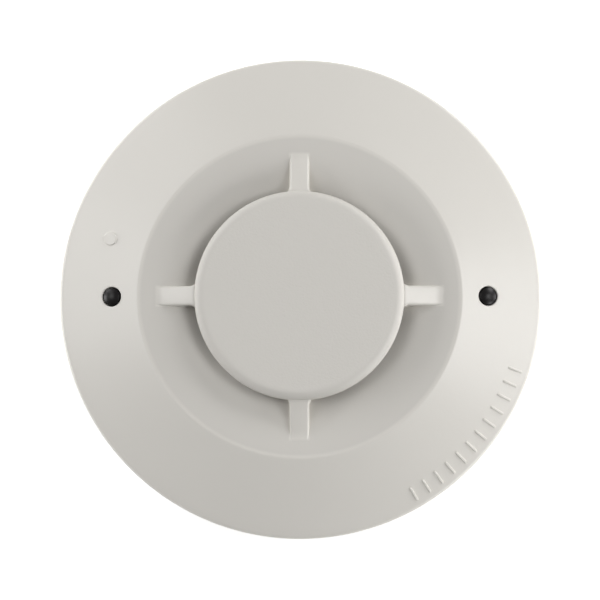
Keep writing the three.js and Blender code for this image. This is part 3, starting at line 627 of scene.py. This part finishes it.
def cover_body():
    lip = 0.35
    outer = [(OUTER - SIDE_DRAFT - lip, FOOT), (OUTER - SIDE_DRAFT, FOOT + lip)]
    for i in range(1, 9):
        t = i / 9
        outer.append((OUTER - SIDE_DRAFT * (1 - t), FOOT + lip + (EDGE_Z - FOOT - lip) * t))
    outer += arc((OUTER - EDGE_FILLET, EDGE_Z), EDGE_FILLET, 0, 90 - FLANGE_SLOPE, 7)
    inner_edge = CREST + CREST_FILLET
    for i in range(1, 12):
        radius = OUTER - EDGE_FILLET + (inner_edge - OUTER + EDGE_FILLET) * i / 12
        outer.append((radius, flange_height(radius)))
    centre = (CREST, CREST_Z - CREST_FILLET / LEAN)
    outer += arc(centre, CREST_FILLET, 90 - FLANGE_SLOPE, 90 + RECESS_SLOPE, 8)
    outer += recess_points(18)[1:-1]
    outer += arc((THROAT + THROAT_FILLET, THROAT_Z - THROAT_FILLET / 2), THROAT_FILLET, 115, 205, 4)
    inner = recess_points(6, WALL)[:0:-1]
    inner += [(CREST, CREST_Z - WALL / LEAN),
              (OUTER - WALL, flange_height(OUTER - WALL) - WALL / LEAN),
              (OUTER - SIDE_DRAFT - WALL, FOOT + lip), (OUTER - SIDE_DRAFT - WALL + lip, FOOT)]
    return lathe("cover", outer + inner, FINE)


def cap():
    profile = [(0, TOP - CAP_WALL)]
    profile += arc((CAP - CAP_WALL - 0.8, TOP - CAP_WALL - 0.8), 0.8, 90, 0, 4)
    foot = TOP - CAP_DEPTH
    profile += arc((CAP - CAP_WALL + 0.4, foot + 0.4), 0.4, 180, 270, 3)
    profile += arc((CAP - 0.4, foot + 0.4), 0.4, -90, 0, 3)
    profile += arc((CAP - CAP_FILLET, TOP - CAP_FILLET), CAP_FILLET, 0, 90, 10)
    profile += [(CAP - CAP_FILLET - 0.6 - (CAP - CAP_FILLET - 0.6) * i / 8, TOP) for i in range(8)]
    profile.append((0, TOP))
    return lathe("cap", profile, FINE)


def soft_max(a, b, width):
    """The larger of two heights, with their corner rounded over about width."""
    gap = max(width - abs(a - b), 0) / width
    return max(a, b) + gap * gap * width / 4


def rib():
    """A web with rounded edges whose outer end sweeps up into the wall of the recess."""
    stations = 40
    start, end = CAP - CAP_WALL / 2, CREST - 2.6
    corner, flare_reach = 0.55, 1.6
    rings = []
    for i in range(stations + 1):
        radius = start + (end - start) * i / stations
        line = RIB_TOP - max(radius - CAP, 0) * math.tan(math.radians(RIB_SLOPE))
        top = soft_max(line, recess_height(radius) - 0.02, 0.5)
        near_wall = max(0.0, 1 - (end - radius) / flare_reach)
        near_cap = max(0.0, 1 - (radius - CAP) / 0.9)
        half = RIB_WIDTH / 2 + 0.55 * near_wall ** 2 + 0.35 * min(near_cap, 1) ** 2
        bottom = min(recess_height(radius) - WALL / 2, top - 2.5 * corner)
        section = arc((half - corner, top - corner), corner, 0, 90, 5)
        section += arc((corner - half, top - corner), corner, 90, 180, 5)
        section += arc((corner - half, bottom + corner), corner, 180, 270, 3)
        section += arc((half - corner, bottom + corner), corner, 270, 360, 3)
        rings.append([(radius, y, z) for y, z in section])
    count = len(rings[0])
    verts = [v for ring in rings for v in ring]
    faces = [list(range(count))[::-1], list(range(count * stations, count * (stations + 1)))]
    for i in range(stations):
        for j in range(count):
            k = (j + 1) % count
            faces.append([i * count + j, i * count + k, (i + 1) * count + k, (i + 1) * count + j])
    return mesh_object("rib", verts, faces)


TICK_COUNT = 12
TICK_PITCH = 3.75
TICK_START = -60
TICK_SIZE = (3.2, 0.55, 0.6)
TICK_INSET = 3.1  # from the outer edge to the middle of a bar
PIP_RADIUS = 1.5
PIP_ANGLE = 162.8
PIP_INSET = 9.2
MARK_HEIGHT = 0.25


def marks():
    """Plain raised bars in an arc, and a plain raised pip."""
    shapes = []
    for i in range(TICK_COUNT):
        tick = block("tick", TICK_SIZE, (0, 0, MARK_HEIGHT - TICK_SIZE[2] / 2), 0.16)
        shapes.append(on_flange(tick, OUTER - TICK_INSET, TICK_START + i * TICK_PITCH))
    profile = [(0, -0.4), (PIP_RADIUS, -0.4)] + arc((PIP_RADIUS - 0.2, MARK_HEIGHT - 0.2), 0.2, 0, 90, 4)
    pip = lathe("pip", profile + [(0, MARK_HEIGHT)])
    shapes.append(on_flange(pip, OUTER - PIP_INSET, PIP_ANGLE))
    return merge("marks", shapes)


def lens_holes():
    shapes = []
    for degrees in (0, 180):
        profile = [(0, -9), (LENS_HOLE, -9), (LENS_HOLE, -0.25)]
        profile += arc((LENS_HOLE + 0.25, -0.25), 0.25, 180, 90, 4) + [(LENS_HOLE + 0.25, 2), (0, 2)]
        shapes.append(on_flange(lathe("hole", profile, MEDIUM), LENS_CENTRE, degrees))
    return merge("holes", shapes)


def lens_bosses():
    shapes = []
    for degrees in (0, 180):
        outer = LENS_HOLE + 1.2
        boss = lathe("boss", rounded([(0, -4.9), (outer, -4.9), (outer, -0.9), (0, -0.9)], 0.2), MEDIUM)
        shapes.append(on_flange(boss, LENS_CENTRE, degrees))
    return merge("bosses", shapes)


def cover():
    shell = cover_body()
    ribs = [turned(rib(), angle) for angle in evenly(4)]
    join(shell, *ribs)
    join(shell, cap(), lens_bosses(), marks())
    cut(shell, lens_holes())
    piece(shell, "cover", "cover", "shell_plastic", SHELL, "cover_shell")
    for side, degrees in (("right", 0), ("left", 180)):
        low, high = span(f"lamp_lens_{side}")
        dome = 2 * LENS_RADIUS
        half = math.degrees(math.asin(LENS_RADIUS / dome))
        length = (high.z - low.z) / LEAN - LENS_RADIUS * SLOPE - LENS_PROUD
        profile = [(0, -length), (LENS_RADIUS - 0.2, -length), (LENS_RADIUS, -length + 0.2)]
        profile += [(LENS_RADIUS, -length + (length - 0.6) * t / 4) for t in range(1, 5)]
        profile += arc((0, LENS_PROUD - dome), dome, 90 - half, 90, 8)
        lens = on_flange(lathe(f"lens_{side}", profile, MEDIUM), LENS_CENTRE, degrees)
        piece(lens, f"lens_{side}", "cover", "lamp_lens", LENS, f"lamp_lens_{side}")


# ---- base
BASE_INSET = 1.0  # rim of the base inside the edge of the cover
BASE_DRAFT = 0.5
BASE_WALL = 2.4
BASE_FLOOR = 2.4
WIRE_ENTRY = 14.0
WIRE_LIP = 1.4
SLOT_WIDTH = 4.6
SLOTS = [(0, 29.4, 42.4), (90, 28.0, 36.0)]  # angle, inner and outer end
KEYHOLE = 4.4
LOCKS = evenly(3, 90)
LUG_HALF = 8.0
LEDGE_REACH = 3.3
LEDGE_HEIGHT = 1.8
LEDGE_DROP = 1.0  # below the rim
LUG_HEIGHT = 2.1
LUG_GAP = 0.8
PLUG_GAP = 0.4
STOP = 3.0
TERMINALS = evenly(4, 45)
METAL = 0.8
GAP = 0.3
BEND = 0.7  # outer radius of a bend in sheet metal
PLUG = HIGH.x - BASE_INSET - BASE_WALL - LEDGE_REACH - PLUG_GAP
JAW_OUTER = PLUG - 7.7
JAW_DEPTH = 6.7
JAW_LENGTH = 8.0
SCREW_OFFSET = 11.5
CLAMP = 8.0
SCREW = 1.75
SCREW_HEAD = 3.2
SCREW_SLOT = (0.9, 1.1)  # width and depth
PITCH = 0.6
JAW_INNER = JAW_OUTER - JAW_DEPTH
SCREW_PLACE = (JAW_OUTER - CLAMP / 2, -SCREW_OFFSET, 0)
PAD_START = -SCREW_OFFSET - CLAMP / 2


def keyhole(inner, outer):
    """A screw slot with a round head hole at its inner end."""
    half = SLOT_WIDTH / 2
    turn_in = math.degrees(math.asin(half / KEYHOLE))
    outline = [(inner + x, y) for x, y in arc((0, 0), KEYHOLE, turn_in, 360 - turn_in, 40)]
    outline += arc((outer - half, 0), half, -90, 90, 16)
    return slab("keyhole", outline, -2, BASE_FLOOR + 2)


def base():
    low, high = span("base_shell")
    inner = high.x - BASE_WALL
    lip = WIRE_ENTRY + WIRE_LIP
    bowl = lathe("base", rounded([
        (WIRE_ENTRY, low.z), (high.x - BASE_DRAFT, low.z), (high.x, high.z), (inner, high.z),
        (inner, BASE_FLOOR), (lip, BASE_FLOOR), (lip, BASE_FLOOR + WIRE_LIP),
        (WIRE_ENTRY, BASE_FLOOR + WIRE_LIP)], 0.6, 4), FINE)
    ledge_top = high.z - LEDGE_DROP
    ledge = ledge_top - LEDGE_HEIGHT
    lug = ledge - GAP - LUG_HEIGHT
    stop = -LUG_HALF - 0.5
    for angle in LOCKS:
        radii = (inner - LEDGE_REACH, inner + 1)
        shelf = sector("ledge", *radii, stop - STOP, LUG_HALF + 1, ledge, ledge_top, 0.25)
        end = sector("stop", *radii, stop - STOP, stop, lug, ledge_top - 0.5, 0.25, 4)
        join(bowl, turned(shelf, angle), turned(end, angle))
    top = span("contact_strip_1")[0].z - GAP
    length = JAW_LENGTH / 2 - PAD_START
    for angle in TERMINALS:
        pedestal = block("pedestal", (JAW_DEPTH, length, top - 1), (
            JAW_OUTER - JAW_DEPTH / 2, PAD_START + length / 2, (top + 1) / 2), 0.35)
        join(bowl, turned(pedestal, angle))
        hole = lathe("hole", [(0, BASE_FLOOR), (SCREW + GAP, BASE_FLOOR), (SCREW + GAP, top - 0.3),
                              (SCREW + GAP + 0.5, top + 0.4), (0, top + 0.4)])
        cut(bowl, turned(moved(hole, SCREW_PLACE), angle))
    for angle, start, end in SLOTS:
        for side in (0, 180):
            cut(bowl, turned(keyhole(start, end), angle + side))
    piece(bowl, "base", "base", "housing_plastic", HOUSING, "base_shell")


def contact_strip(strip_z, jaw_top):
    """A bent brass strip: a pad under the clamp, then a jaw that the blade slides into."""
    roof, top = jaw_top - METAL, strip_z + METAL
    outline = [(JAW_INNER, strip_z)]
    outline += arc((JAW_OUTER - BEND, strip_z + BEND), BEND, -90, 0, 5)
    outline += arc((JAW_OUTER - BEND, jaw_top - BEND), BEND, 0, 90, 5)
    outline += [(JAW_INNER, jaw_top), (JAW_INNER, roof), (JAW_OUTER - METAL, roof),
                (JAW_OUTER - METAL, top), (JAW_INNER, top)]
    jaw = slab("jaw", outline, -JAW_LENGTH / 2, JAW_LENGTH / 2, 0.08, "Y")
    pad = block("pad", (CLAMP, -PAD_START, METAL), (SCREW_PLACE[0], PAD_START / 2, strip_z + METAL / 2), 0.08)
    return cut(join(jaw, pad), moved(hole_through(SCREW + GAP, strip_z - 1, top + 1), SCREW_PLACE))


def clamp_plate(low, high):
    """A square washer with grooves underneath that grip the wire."""
    height = high - low
    plate = block("clamp", (CLAMP, CLAMP, height), (0, 0, (low + high) / 2), 0.2)
    grooves = [block("groove", (CLAMP + 2, 0.5, 0.5), (0, side * (SCREW_HEAD + offset), low), 0)
               for side in (-1, 1) for offset in (-0.6, 0.2)]
    return cut(plate, merge("grooves", grooves), hole_through(SCREW + GAP, low - 1, high + 1))


def screw(shank, head, low, seat, top, pitch=PITCH, point=0.8):
    """A pan head on a shank with ring threads, without its drive."""
    depth = 0.45 * pitch
    profile = [(0, low), (shank - point, low), (shank - depth, low + point)]
    turns = int((seat - low - point) / pitch)
    for i in range(turns):
        z = low + point + i * pitch
        profile += [(shank, z + pitch / 2), (shank - depth, z + pitch)]
    edge = (top - seat) * 0.55
    profile += [(shank - depth, seat), (head - 0.15, seat), (head, seat + 0.15)]
    profile += arc((head - edge, top - edge), edge, 0, 90, 7)
    return lathe("screw", profile + [(0, top)])


def terminals():
    clamp_low, clamp_high = span("clamp_plate_1")
    screw_low, screw_high = span("terminal_screw_1")
    strip_low, strip_high = span("contact_strip_1")
    for number, angle in enumerate(TERMINALS, 1):
        strip = turned(contact_strip(strip_low.z, strip_high.z), angle)
        node = f"contact_strip_{number}"
        piece(strip, node, "base", "terminal_brass", BRASS, node)
        plate = turned(moved(clamp_plate(clamp_low.z, clamp_high.z), SCREW_PLACE), angle)
        node = f"clamp_plate_{number}"
        piece(plate, node, f"clamp_{number}", "plated_steel", STEEL, node)
        shape = screw(SCREW, SCREW_HEAD, screw_low.z, clamp_high.z + GAP, screw_high.z)
        width, depth = SCREW_SLOT
        cut(shape, block("drive", (3 * SCREW_HEAD, width, 2 * depth), (0, 0, screw_high.z), 0))
        turned(moved(shape, SCREW_PLACE), angle)
        node = f"terminal_screw_{number}"
        piece(shape, node, f"screw_{number}", "plated_steel", STEEL, node)


# ---- head: housing, blades and sensor
HOUSING_WALL = 1.8
HOUSING_FLOOR = 2.0
BLADE_WIDTH = 6.0
BLADE_RADIUS = JAW_INNER - 2.1
BOARD_SCREWS = evenly(3, 30)
BOARD_SCREW = 1.3
BOARD_SCREW_HEAD = 2.7
BOSS_WALL = 1.7
DIAL = 3.3
DIAL_SHAFT = 1.2
DIAL_SLOT = (5.3, 0.9, 1.0)
DIAL_TICKS = 10
CARRIER_FOOT = 13.0
CARRIER_TUBE = 9.5
CARRIER_WALL = 1.5
GROMMET = 2.6
GROMMET_FLANGE = 1.4
LEAD = 0.3
LEAD_SPACING = 2.6
BEAD = 1.25
BEAD_LENGTH = 3.6


def rear_housing():
    low, high = span("rear_housing")
    spigot = high.x
    floor_top = low.z + HOUSING_FLOOR
    step = FOOT
    board = span("circuit_board")[0].z
    cup = lathe("housing", rounded([
        (0, low.z), (PLUG, low.z), (PLUG, step), (spigot, step), (spigot, high.z),
        (spigot - HOUSING_WALL, high.z), (spigot - HOUSING_WALL, step + HOUSING_WALL),
        (PLUG - HOUSING_WALL, step + HOUSING_WALL), (PLUG - HOUSING_WALL, floor_top), (0, floor_top)],
        0.5, 4), FINE)
    lug_tip = HIGH.x - BASE_INSET - BASE_WALL - LUG_GAP
    lug_top = span("base_shell")[1].z - LEDGE_DROP - LEDGE_HEIGHT - GAP
    for angle in LOCKS:
        lug = sector("lug", PLUG - 1, lug_tip, -LUG_HALF, LUG_HALF, lug_top - LUG_HEIGHT, lug_top, 0.3)
        join(cup, turned(lug, angle))
    screw_radius = math.hypot(*middle("board_screw_1").xy)
    for angle in BOARD_SCREWS:
        outer = BOARD_SCREW + GAP + BOSS_WALL
        boss = lathe("boss", rounded([
            (0, low.z + 1), (outer, low.z + 1), (outer - 0.2, board - GAP), (0, board - GAP)], 0.3))
        join(cup, turned(moved(boss, (screw_radius, 0, 0)), angle))
        hole = hole_through(BOARD_SCREW + GAP, floor_top, board + 1)
        cut(cup, turned(moved(hole, (screw_radius, 0, 0)), angle))
    for angle in TERMINALS:
        slot = block("slot", (METAL + 2 * GAP, BLADE_WIDTH + 2 * GAP, 2 * HOUSING_FLOOR),
                     (BLADE_RADIUS, 0, low.z + HOUSING_FLOOR / 2), 0)
        cut(cup, turned(slot, angle))
    for digit in ("tens", "ones"):
        centre = middle(f"address_dial_{digit}")
        window = lathe("window", [
            (0, low.z - 1), (DIAL + 1.2, low.z - 1), (DIAL + 0.9, low.z), (DIAL + 0.4, low.z + 0.5),
            (DIAL + 0.4, floor_top + 1), (0, floor_top + 1)], MEDIUM)
        ticks = [turned(block("tick", (1.3, 0.35, 0.5), (DIAL + 2.2, 0, low.z), 0), angle)
                 for angle in evenly(DIAL_TICKS)]
        cut(cup, over(window, centre), over(merge("ticks", ticks), centre))
    piece(cup, "rear_housing", "head", "housing_plastic", HOUSING, "rear_housing")


def blades():
    low, high = span("blade_contact_1")
    tip = JAW_OUTER - METAL - 0.4
    half = METAL / 2
    for number, angle in enumerate(TERMINALS, 1):
        outline = arc((BLADE_RADIUS - half + BEND, low.z + BEND), BEND, 180, 270, 5)
        outline += [(tip - 0.3, low.z), (tip, low.z + 0.2), (tip, low.z + METAL - 0.2),
                    (tip - 0.3, low.z + METAL), (BLADE_RADIUS + half, low.z + METAL),
                    (BLADE_RADIUS + half, high.z), (BLADE_RADIUS - half, high.z)]
        blade = turned(slab("blade", outline, -BLADE_WIDTH / 2, BLADE_WIDTH / 2, 0.08, "Y"), angle)
        node = f"blade_contact_{number}"
        piece(blade, node, "head", "terminal_brass", BRASS, node)


def sensor():
    low, high = span("sensor_carrier")
    board_top = span("circuit_board")[1].z
    inner = CARRIER_TUBE - CARRIER_WALL
    hole = GROMMET + GAP
    under = high.z - CARRIER_WALL
    carrier = lathe("carrier", rounded([
        (inner, board_top), (CARRIER_FOOT, board_top), (CARRIER_FOOT, low.z + CARRIER_WALL),
        (CARRIER_TUBE, low.z + CARRIER_WALL), (CARRIER_TUBE, under), (high.x, under), (high.x, high.z),
        (hole, high.z), (hole, under), (inner, under)], 0.35), ROUND)
    for angle in evenly(6, 30):
        outline = [(CARRIER_TUBE - 0.5, low.z + 1), (CARRIER_FOOT - 0.4, low.z + 1),
                   (CARRIER_TUBE + 0.4, low.z + 7), (CARRIER_TUBE - 0.5, low.z + 7)]
        fin = slab("fin", outline, -0.5, 0.5, 0.15, "Y")
        join(carrier, turned(fin, angle))
    piece(carrier, "sensor_carrier", "head", "carrier_plastic", CARRIER, "sensor_carrier")

    low, high = span("sensor_grommet")
    outer = GROMMET + GROMMET_FLANGE
    flange = high.z - 0.8
    grommet = lathe("grommet", rounded([(0, low.z), (GROMMET, low.z), (GROMMET, flange), (outer, flange),
                                        (outer - 0.5, high.z), (0, high.z)], 0.35, 4), MEDIUM)
    for side in (-1, 1):
        cut(grommet, moved(hole_through(LEAD + 0.1, low.z - 1, high.z + 1), (side * LEAD_SPACING / 2, 0, 0)))
    piece(grommet, "sensor_grommet", "head", "grommet_rubber", RUBBER, "sensor_grommet")

    low, high = span("thermistor")
    tip, foot = high.z, high.z - BEAD_LENGTH
    bead = lathe("bead", arc((0, foot + BEAD), BEAD, -90, 0, 8) + arc((0, tip - BEAD), BEAD, 0, 90, 8))
    shoulder = block("shoulder", (LEAD_SPACING + 2.4 * LEAD, 2.6 * LEAD, 1.3), (0, 0, foot + 0.55), 0.3)
    piece(join(bead, shoulder), "thermistor", "head", "sensor_epoxy", EPOXY, "thermistor")
    leads = []
    for side in (-1, 1):
        lead = lathe("lead", [(0, board_top), (LEAD, board_top), (LEAD, foot + 0.6), (0, foot + 0.6)], THIN)
        leads.append(moved(lead, (side * LEAD_SPACING / 2, 0, 0)))
    piece(merge("leads", leads), "thermistor_leads", "head", "plated_steel", STEEL)


# ---- head: circuit board
LEG = 0.12  # thickness of a package's legs
PAD = 0.08  # thickness of a solder pad
CHIPS = [  # node, sides with legs, legs on a side, their pitch, width and reach
    ("microcontroller", (0, 90, 180, 270), 11, 0.8, 0.35, 1.1),
    ("line_driver", (90, 270), 4, 1.27, 0.42, 1.0),
    ("bridge_rectifier", (90, 270), 2, 4.6, 1.0, 1.2),
]
RESISTOR_END = 0.5
LED = 1.5
SWITCH_LEGS = 3
LEG_PITCH = 2.54


def board():
    low, high = span("circuit_board")
    screw_radius = math.hypot(*middle("board_screw_1").xy)
    plate = lathe("board", rounded([(0, low.z), (high.x, low.z), (high.x, high.z), (0, high.z)], 0.08), FINE)
    for angle in BOARD_SCREWS:
        hole = hole_through(BOARD_SCREW + GAP, low.z - 1, high.z + 1)
        cut(plate, turned(moved(hole, (screw_radius, 0, 0)), angle))
    piece(plate, "circuit_board", "head", "board_laminate", BOARD, "circuit_board")
    for number, angle in enumerate(BOARD_SCREWS, 1):
        node = f"board_screw_{number}"
        screw_low, screw_high = span(node)
        shape = screw(BOARD_SCREW, BOARD_SCREW_HEAD, screw_low.z, high.z, screw_high.z, 0.9, 0.5)
        for turn in (0, 90):
            cross = block("drive", (2 * BOARD_SCREW, 0.7, 1.8), (0, 0, screw_high.z), 0)
            cut(shape, turned(cross, turn))
        turned(moved(shape, (screw_radius, 0, 0)), angle)
        piece(shape, node, "head", "plated_steel", STEEL, node)


def leg(height, reach, width):
    """A bent leg from the side of a package, at X = 0, down to the board, at Z = 0."""
    knee, ankle = 0.35 * reach, 0.55 * reach
    outline = [(-0.3, height - LEG), (knee, height - LEG), (ankle, 0), (reach, 0), (reach, LEG),
               (ankle + LEG, LEG), (knee + LEG, height), (-0.3, height)]
    return slab("leg", outline, -width / 2, width / 2, axis="Y")


def packages():
    top = span("circuit_board")[1].z
    solder = []
    for node, sides, count, pitch, width, reach in CHIPS:
        low, high = span(node)
        size, centre = high - low, (low + high) / 2
        body = block(node, size, centre, 0.14)
        dimple = hole_through(0.4, high.z - 0.12, high.z + 1)
        cut(body, moved(dimple, (low.x + 0.9, high.y - 0.9, 0)))
        piece(body, node, "head", "chip_plastic", CHIP, node)
        for side in sides:
            edge = (size.y if side % 180 else size.x) / 2
            for i in range(count):
                shift = (i - (count - 1) / 2) * pitch
                shape = moved(leg(low.z - top + 0.45 * size.z, reach, width), (edge, shift, 0))
                pad = block("pad", (0.8, width + 0.15, PAD), (edge + reach - 0.2, shift, PAD / 4), PAD / 4)
                for part in (shape, pad):
                    solder.append(moved(turned(part, side), (centre.x, centre.y, top)))
    for number in (1, 2, 3):
        node = f"resistor_{number}"
        low, high = span(node)
        size, centre = high - low, (low + high) / 2
        height, level = high.z - top, (high.z + top) / 2
        core = (size.x - 0.4, size.y - 0.06, height - 0.1)
        body = block(node, core, (centre.x, centre.y, level + 0.03), 0.05)
        piece(body, node, "head", "chip_plastic", CHIP, node)
        for side in (-1, 1):
            x = centre.x + side * (size.x - RESISTOR_END) / 2
            end = block("end", (RESISTOR_END, size.y, height - 0.06), (x, centre.y, level - 0.03), 0.08)
            place = (x + side * 0.3, centre.y, top + PAD / 4)
            solder += [end, block("pad", (1.1, size.y + 0.3, PAD), place, PAD / 4)]
    piece(merge("solder", solder), "solder_and_legs", "head", "plated_steel", STEEL)


def capacitors():
    top = span("circuit_board")[1].z
    for number in (1, 2):
        node = f"capacitor_{number}"
        low, high = span(node)
        centre, radius = (low + high) / 2, (high.x - low.x) / 2
        roll = 0.45
        sleeve = [(0, top), (radius - 0.2, top), (radius, top + 0.2), (radius, low.z + 2 * roll)]
        sleeve += arc((radius + 0.1, low.z + 3 * roll), roll, 220, 140, 5)
        sleeve += [(radius, low.z + 4.2 * roll), (radius, high.z - roll)]
        sleeve += arc((radius - roll, high.z - roll), roll, 0, 100, 6)
        sleeve += [(radius - 1.1, high.z - 0.12), (0, high.z - 0.12)]
        piece(over(lathe(node, sleeve), centre), node, "head", "capacitor_sleeve", SLEEVE, node)
        edge, face = radius - 1.2, high.z - 0.05
        lid = lathe("lid", rounded([(0, high.z - 1), (edge, high.z - 1), (edge, face), (0, face)], 0.1))
        for turn in (0, 60, 120):
            cut(lid, turned(block("score", (1.3 * radius, 0.14, 0.2), (0, 0, face), 0), turn))
        piece(over(lid, centre), f"{node}_lid", "head", "plated_steel", STEEL)


def oblong(width, depth, low, high, bevel):
    r = depth / 2 - 0.2
    x, y = width / 2 - r, depth / 2 - r
    outline = arc((x, y), r, 0, 90, 8) + arc((-x, y), r, 90, 180, 8)
    outline += arc((-x, -y), r, 180, 270, 8) + arc((x, -y), r, 270, 360, 8)
    return slab("oblong", outline, low, high, bevel)


def crystal():
    low, high = span("crystal")
    centre = (low + high) / 2
    width, depth = high.x - low.x, high.y - low.y
    can = oblong(width - 1, depth - 0.9, low.z, high.z, 0.3)
    flange = oblong(width, depth, low.z - 0.2, low.z + 0.5, 0.1)
    piece(over(join(can, flange), centre), "crystal", "head", "plated_steel", STEEL, "crystal")


def wire(name, points, radius=LEAD):
    """A round wire through the points, as a mesh."""
    curve = bpy.data.curves.new(name, "CURVE")
    curve.dimensions = "3D"
    curve.bevel_depth = radius * MM
    curve.bevel_resolution = 3
    curve.use_fill_caps = True
    spline = curve.splines.new("POLY")
    spline.points.add(len(points) - 1)
    for target, point in zip(spline.points, points):
        target.co = (*[c * MM for c in point], 1)
    obj = bpy.data.objects.new(name, curve)
    bpy.context.scene.collection.objects.link(obj)
    mesh = bpy.data.meshes.new_from_object(obj.evaluated_get(bpy.context.evaluated_depsgraph_get()))
    remove(obj)
    obj = bpy.data.objects.new(name, mesh)
    bpy.context.scene.collection.objects.link(obj)
    return obj


def bent(points, radius=0.5):
    """Rounds the inner corners of a path of points."""
    path = [Vector(points[0])]
    for before, corner, after in zip(points, points[1:], points[2:]):
        corner = Vector(corner)
        start = corner + (Vector(before) - corner).normalized() * radius
        end = corner + (Vector(after) - corner).normalized() * radius
        path += [curve_point(start, corner, end, t) for t in (0, 0.25, 0.5, 0.75, 1)]
    return path + [Vector(points[-1])]


REED = (-30, 13.0, 1.1, 2.4)  # angle, length of the glass, its radius, reach of the leads


def reed_switch():
    top = span("circuit_board")[1].z
    centre = middle("reed_switch")
    angle, length, radius, reach = REED
    axis = span("reed_switch")[1].z - radius
    half = length / 2
    end = half - 1.4
    profile = [(0, -half), (0.45, -half)] + arc((0, -end + 0.15), radius, -62, 0, 6)
    profile += arc((0, end - 0.15), radius, 0, 62, 6) + [(0.45, half), (0, half)]
    glass = moved(turned(lathe("glass", profile), 90, "Y"), (0, 0, axis))
    leads = []
    for side in (-1, 1):
        foot = side * (half + reach)
        path = bent([(side * (half - 1.5), 0, axis), (foot, 0, axis), (foot, 0, top)])
        leads.append(wire("lead", path, 0.26))
        leads.append(block("reed", (half, 0.7, 0.16), (side * (half / 2 - 0.4), 0, axis + side * 0.12), 0.03))
        cone = [(0, 0), (0.8, 0), (0.4, 0.35), (0.25, 0.8), (0, 0.8)]
        leads.append(lathe_at("solder", cone, (foot, 0, top)))
    for shape, name, slot, material, nodes in (
            (glass, "reed_glass", "reed_glass", GLASS, ("reed_switch",)),
            (merge("leads", leads), "reed_leads", "plated_steel", STEEL, ())):
        turned(shape, angle)
        piece(over(shape, centre), name, "head", slot, material, *nodes)


LEG_OFFSET = 2.5  # legs of the surge suppressor from its middle


def surge_suppressor():
    top = span("circuit_board")[1].z
    low, high = span("surge_suppressor")
    centre = (low + high) / 2
    radius, thickness = (high.y - low.y) / 2, high.x - low.x
    middle_z = high.z - radius
    curve = thickness / 2
    profile = [(0, -curve)] + arc((radius - curve * 0.8, 0), curve * 0.8, -70, 70, 10) + [(0, curve)]
    disc = moved(turned(lathe("disc", profile, MEDIUM), 90, "Y"), (0, 0, middle_z))
    run = middle_z - radius * math.cos(math.asin(LEG_OFFSET / radius))
    blob = rounded([(0, run - 1.1), (0.4, run - 1.1), (0.75, run + 0.8), (0, run + 0.8)], 0.2)
    legs = []
    for side in (-1, 1):
        join(disc, lathe_at("blob", blob, (0, side * LEG_OFFSET, 0)))
        y = centre.y + side * LEG_OFFSET
        legs.append(wire("leg", [(centre.x, y, top), (centre.x, y, middle_z)]))
    node = "surge_suppressor"
    piece(over(disc, centre), node, "head", "suppressor_coating", COATING, node)
    piece(merge("legs", legs), "suppressor_legs", "head", "plated_steel", STEEL)


def lamps():
    top = span("circuit_board")[1].z
    legs = []
    for side in ("left", "right"):
        node = f"led_{side}"
        low, high = span(node)
        centre = (low + high) / 2
        ring = LED + 0.3
        profile = [(0, low.z), (ring, low.z), (ring, low.z + 0.6), (LED, low.z + 0.6)]
        profile += arc((0, high.z - LED), LED, 0, 90, 9)
        piece(lathe_at(node, profile, (centre.x, centre.y, 0)), node, "head", "lamp_body", LAMP, node)
        size, level = (0.45, 0.45, low.z - top + 0.2), (low.z + top) / 2
        legs += [block("leg", size, (centre.x, centre.y + y, level), 0.05)
                 for y in (-LEG_PITCH / 4, LEG_PITCH / 4)]
    piece(merge("legs", legs), "lamp_legs", "head", "plated_steel", STEEL)


def address_switches():
    top = span("circuit_board")[0].z
    legs = []
    for digit in ("tens", "ones"):
        node = f"address_switch_{digit}"
        low, high = span(node)
        size, centre = high - low, (low + high) / 2
        body = block(node, size, centre, 0.35)
        cut(body, over(hole_through(DIAL_SHAFT + GAP, low.z - 1, low.z + 2.4), centre))
        piece(body, node, "head", "switch_plastic", SWITCH, node)
        for side in (-1, 1):
            y = centre.y + side * size.y * 0.38
            legs += [block("leg", (0.6, 0.25, 1.2), (centre.x + (i - 1) * LEG_PITCH, y, top - 0.3), 0.05)
                     for i in range(SWITCH_LEGS)]
        node = f"address_dial_{digit}"
        low, high = span(node)
        rim = low.z + 1.1
        profile = [(0, low.z), (DIAL, low.z), (DIAL, rim), (DIAL_SHAFT, rim),
                   (DIAL_SHAFT, high.z), (0, high.z)]
        dial = lathe(node, rounded(profile, 0.25), MEDIUM)
        slot = block("slot", DIAL_SLOT, (0, 0, low.z), 0)
        pointer = slab("pointer", [(1.0, -1.0), (2.65, 0), (1.0, 1.0)], low.z - 0.5, low.z + 0.5)
        cut(dial, slot, pointer)
        piece(over(dial, centre), node, f"dial_{digit}", "dial_plastic", DIAL_WHITE, node)
    piece(merge("legs", legs), "switch_legs", "head", "plated_steel", STEEL)


studio()
lights()
ground()
cover()
base()
terminals()
rear_housing()
blades()
sensor()
board()
packages()
capacitors()
crystal()
reed_switch()
surge_suppressor()
lamps()
address_switches()
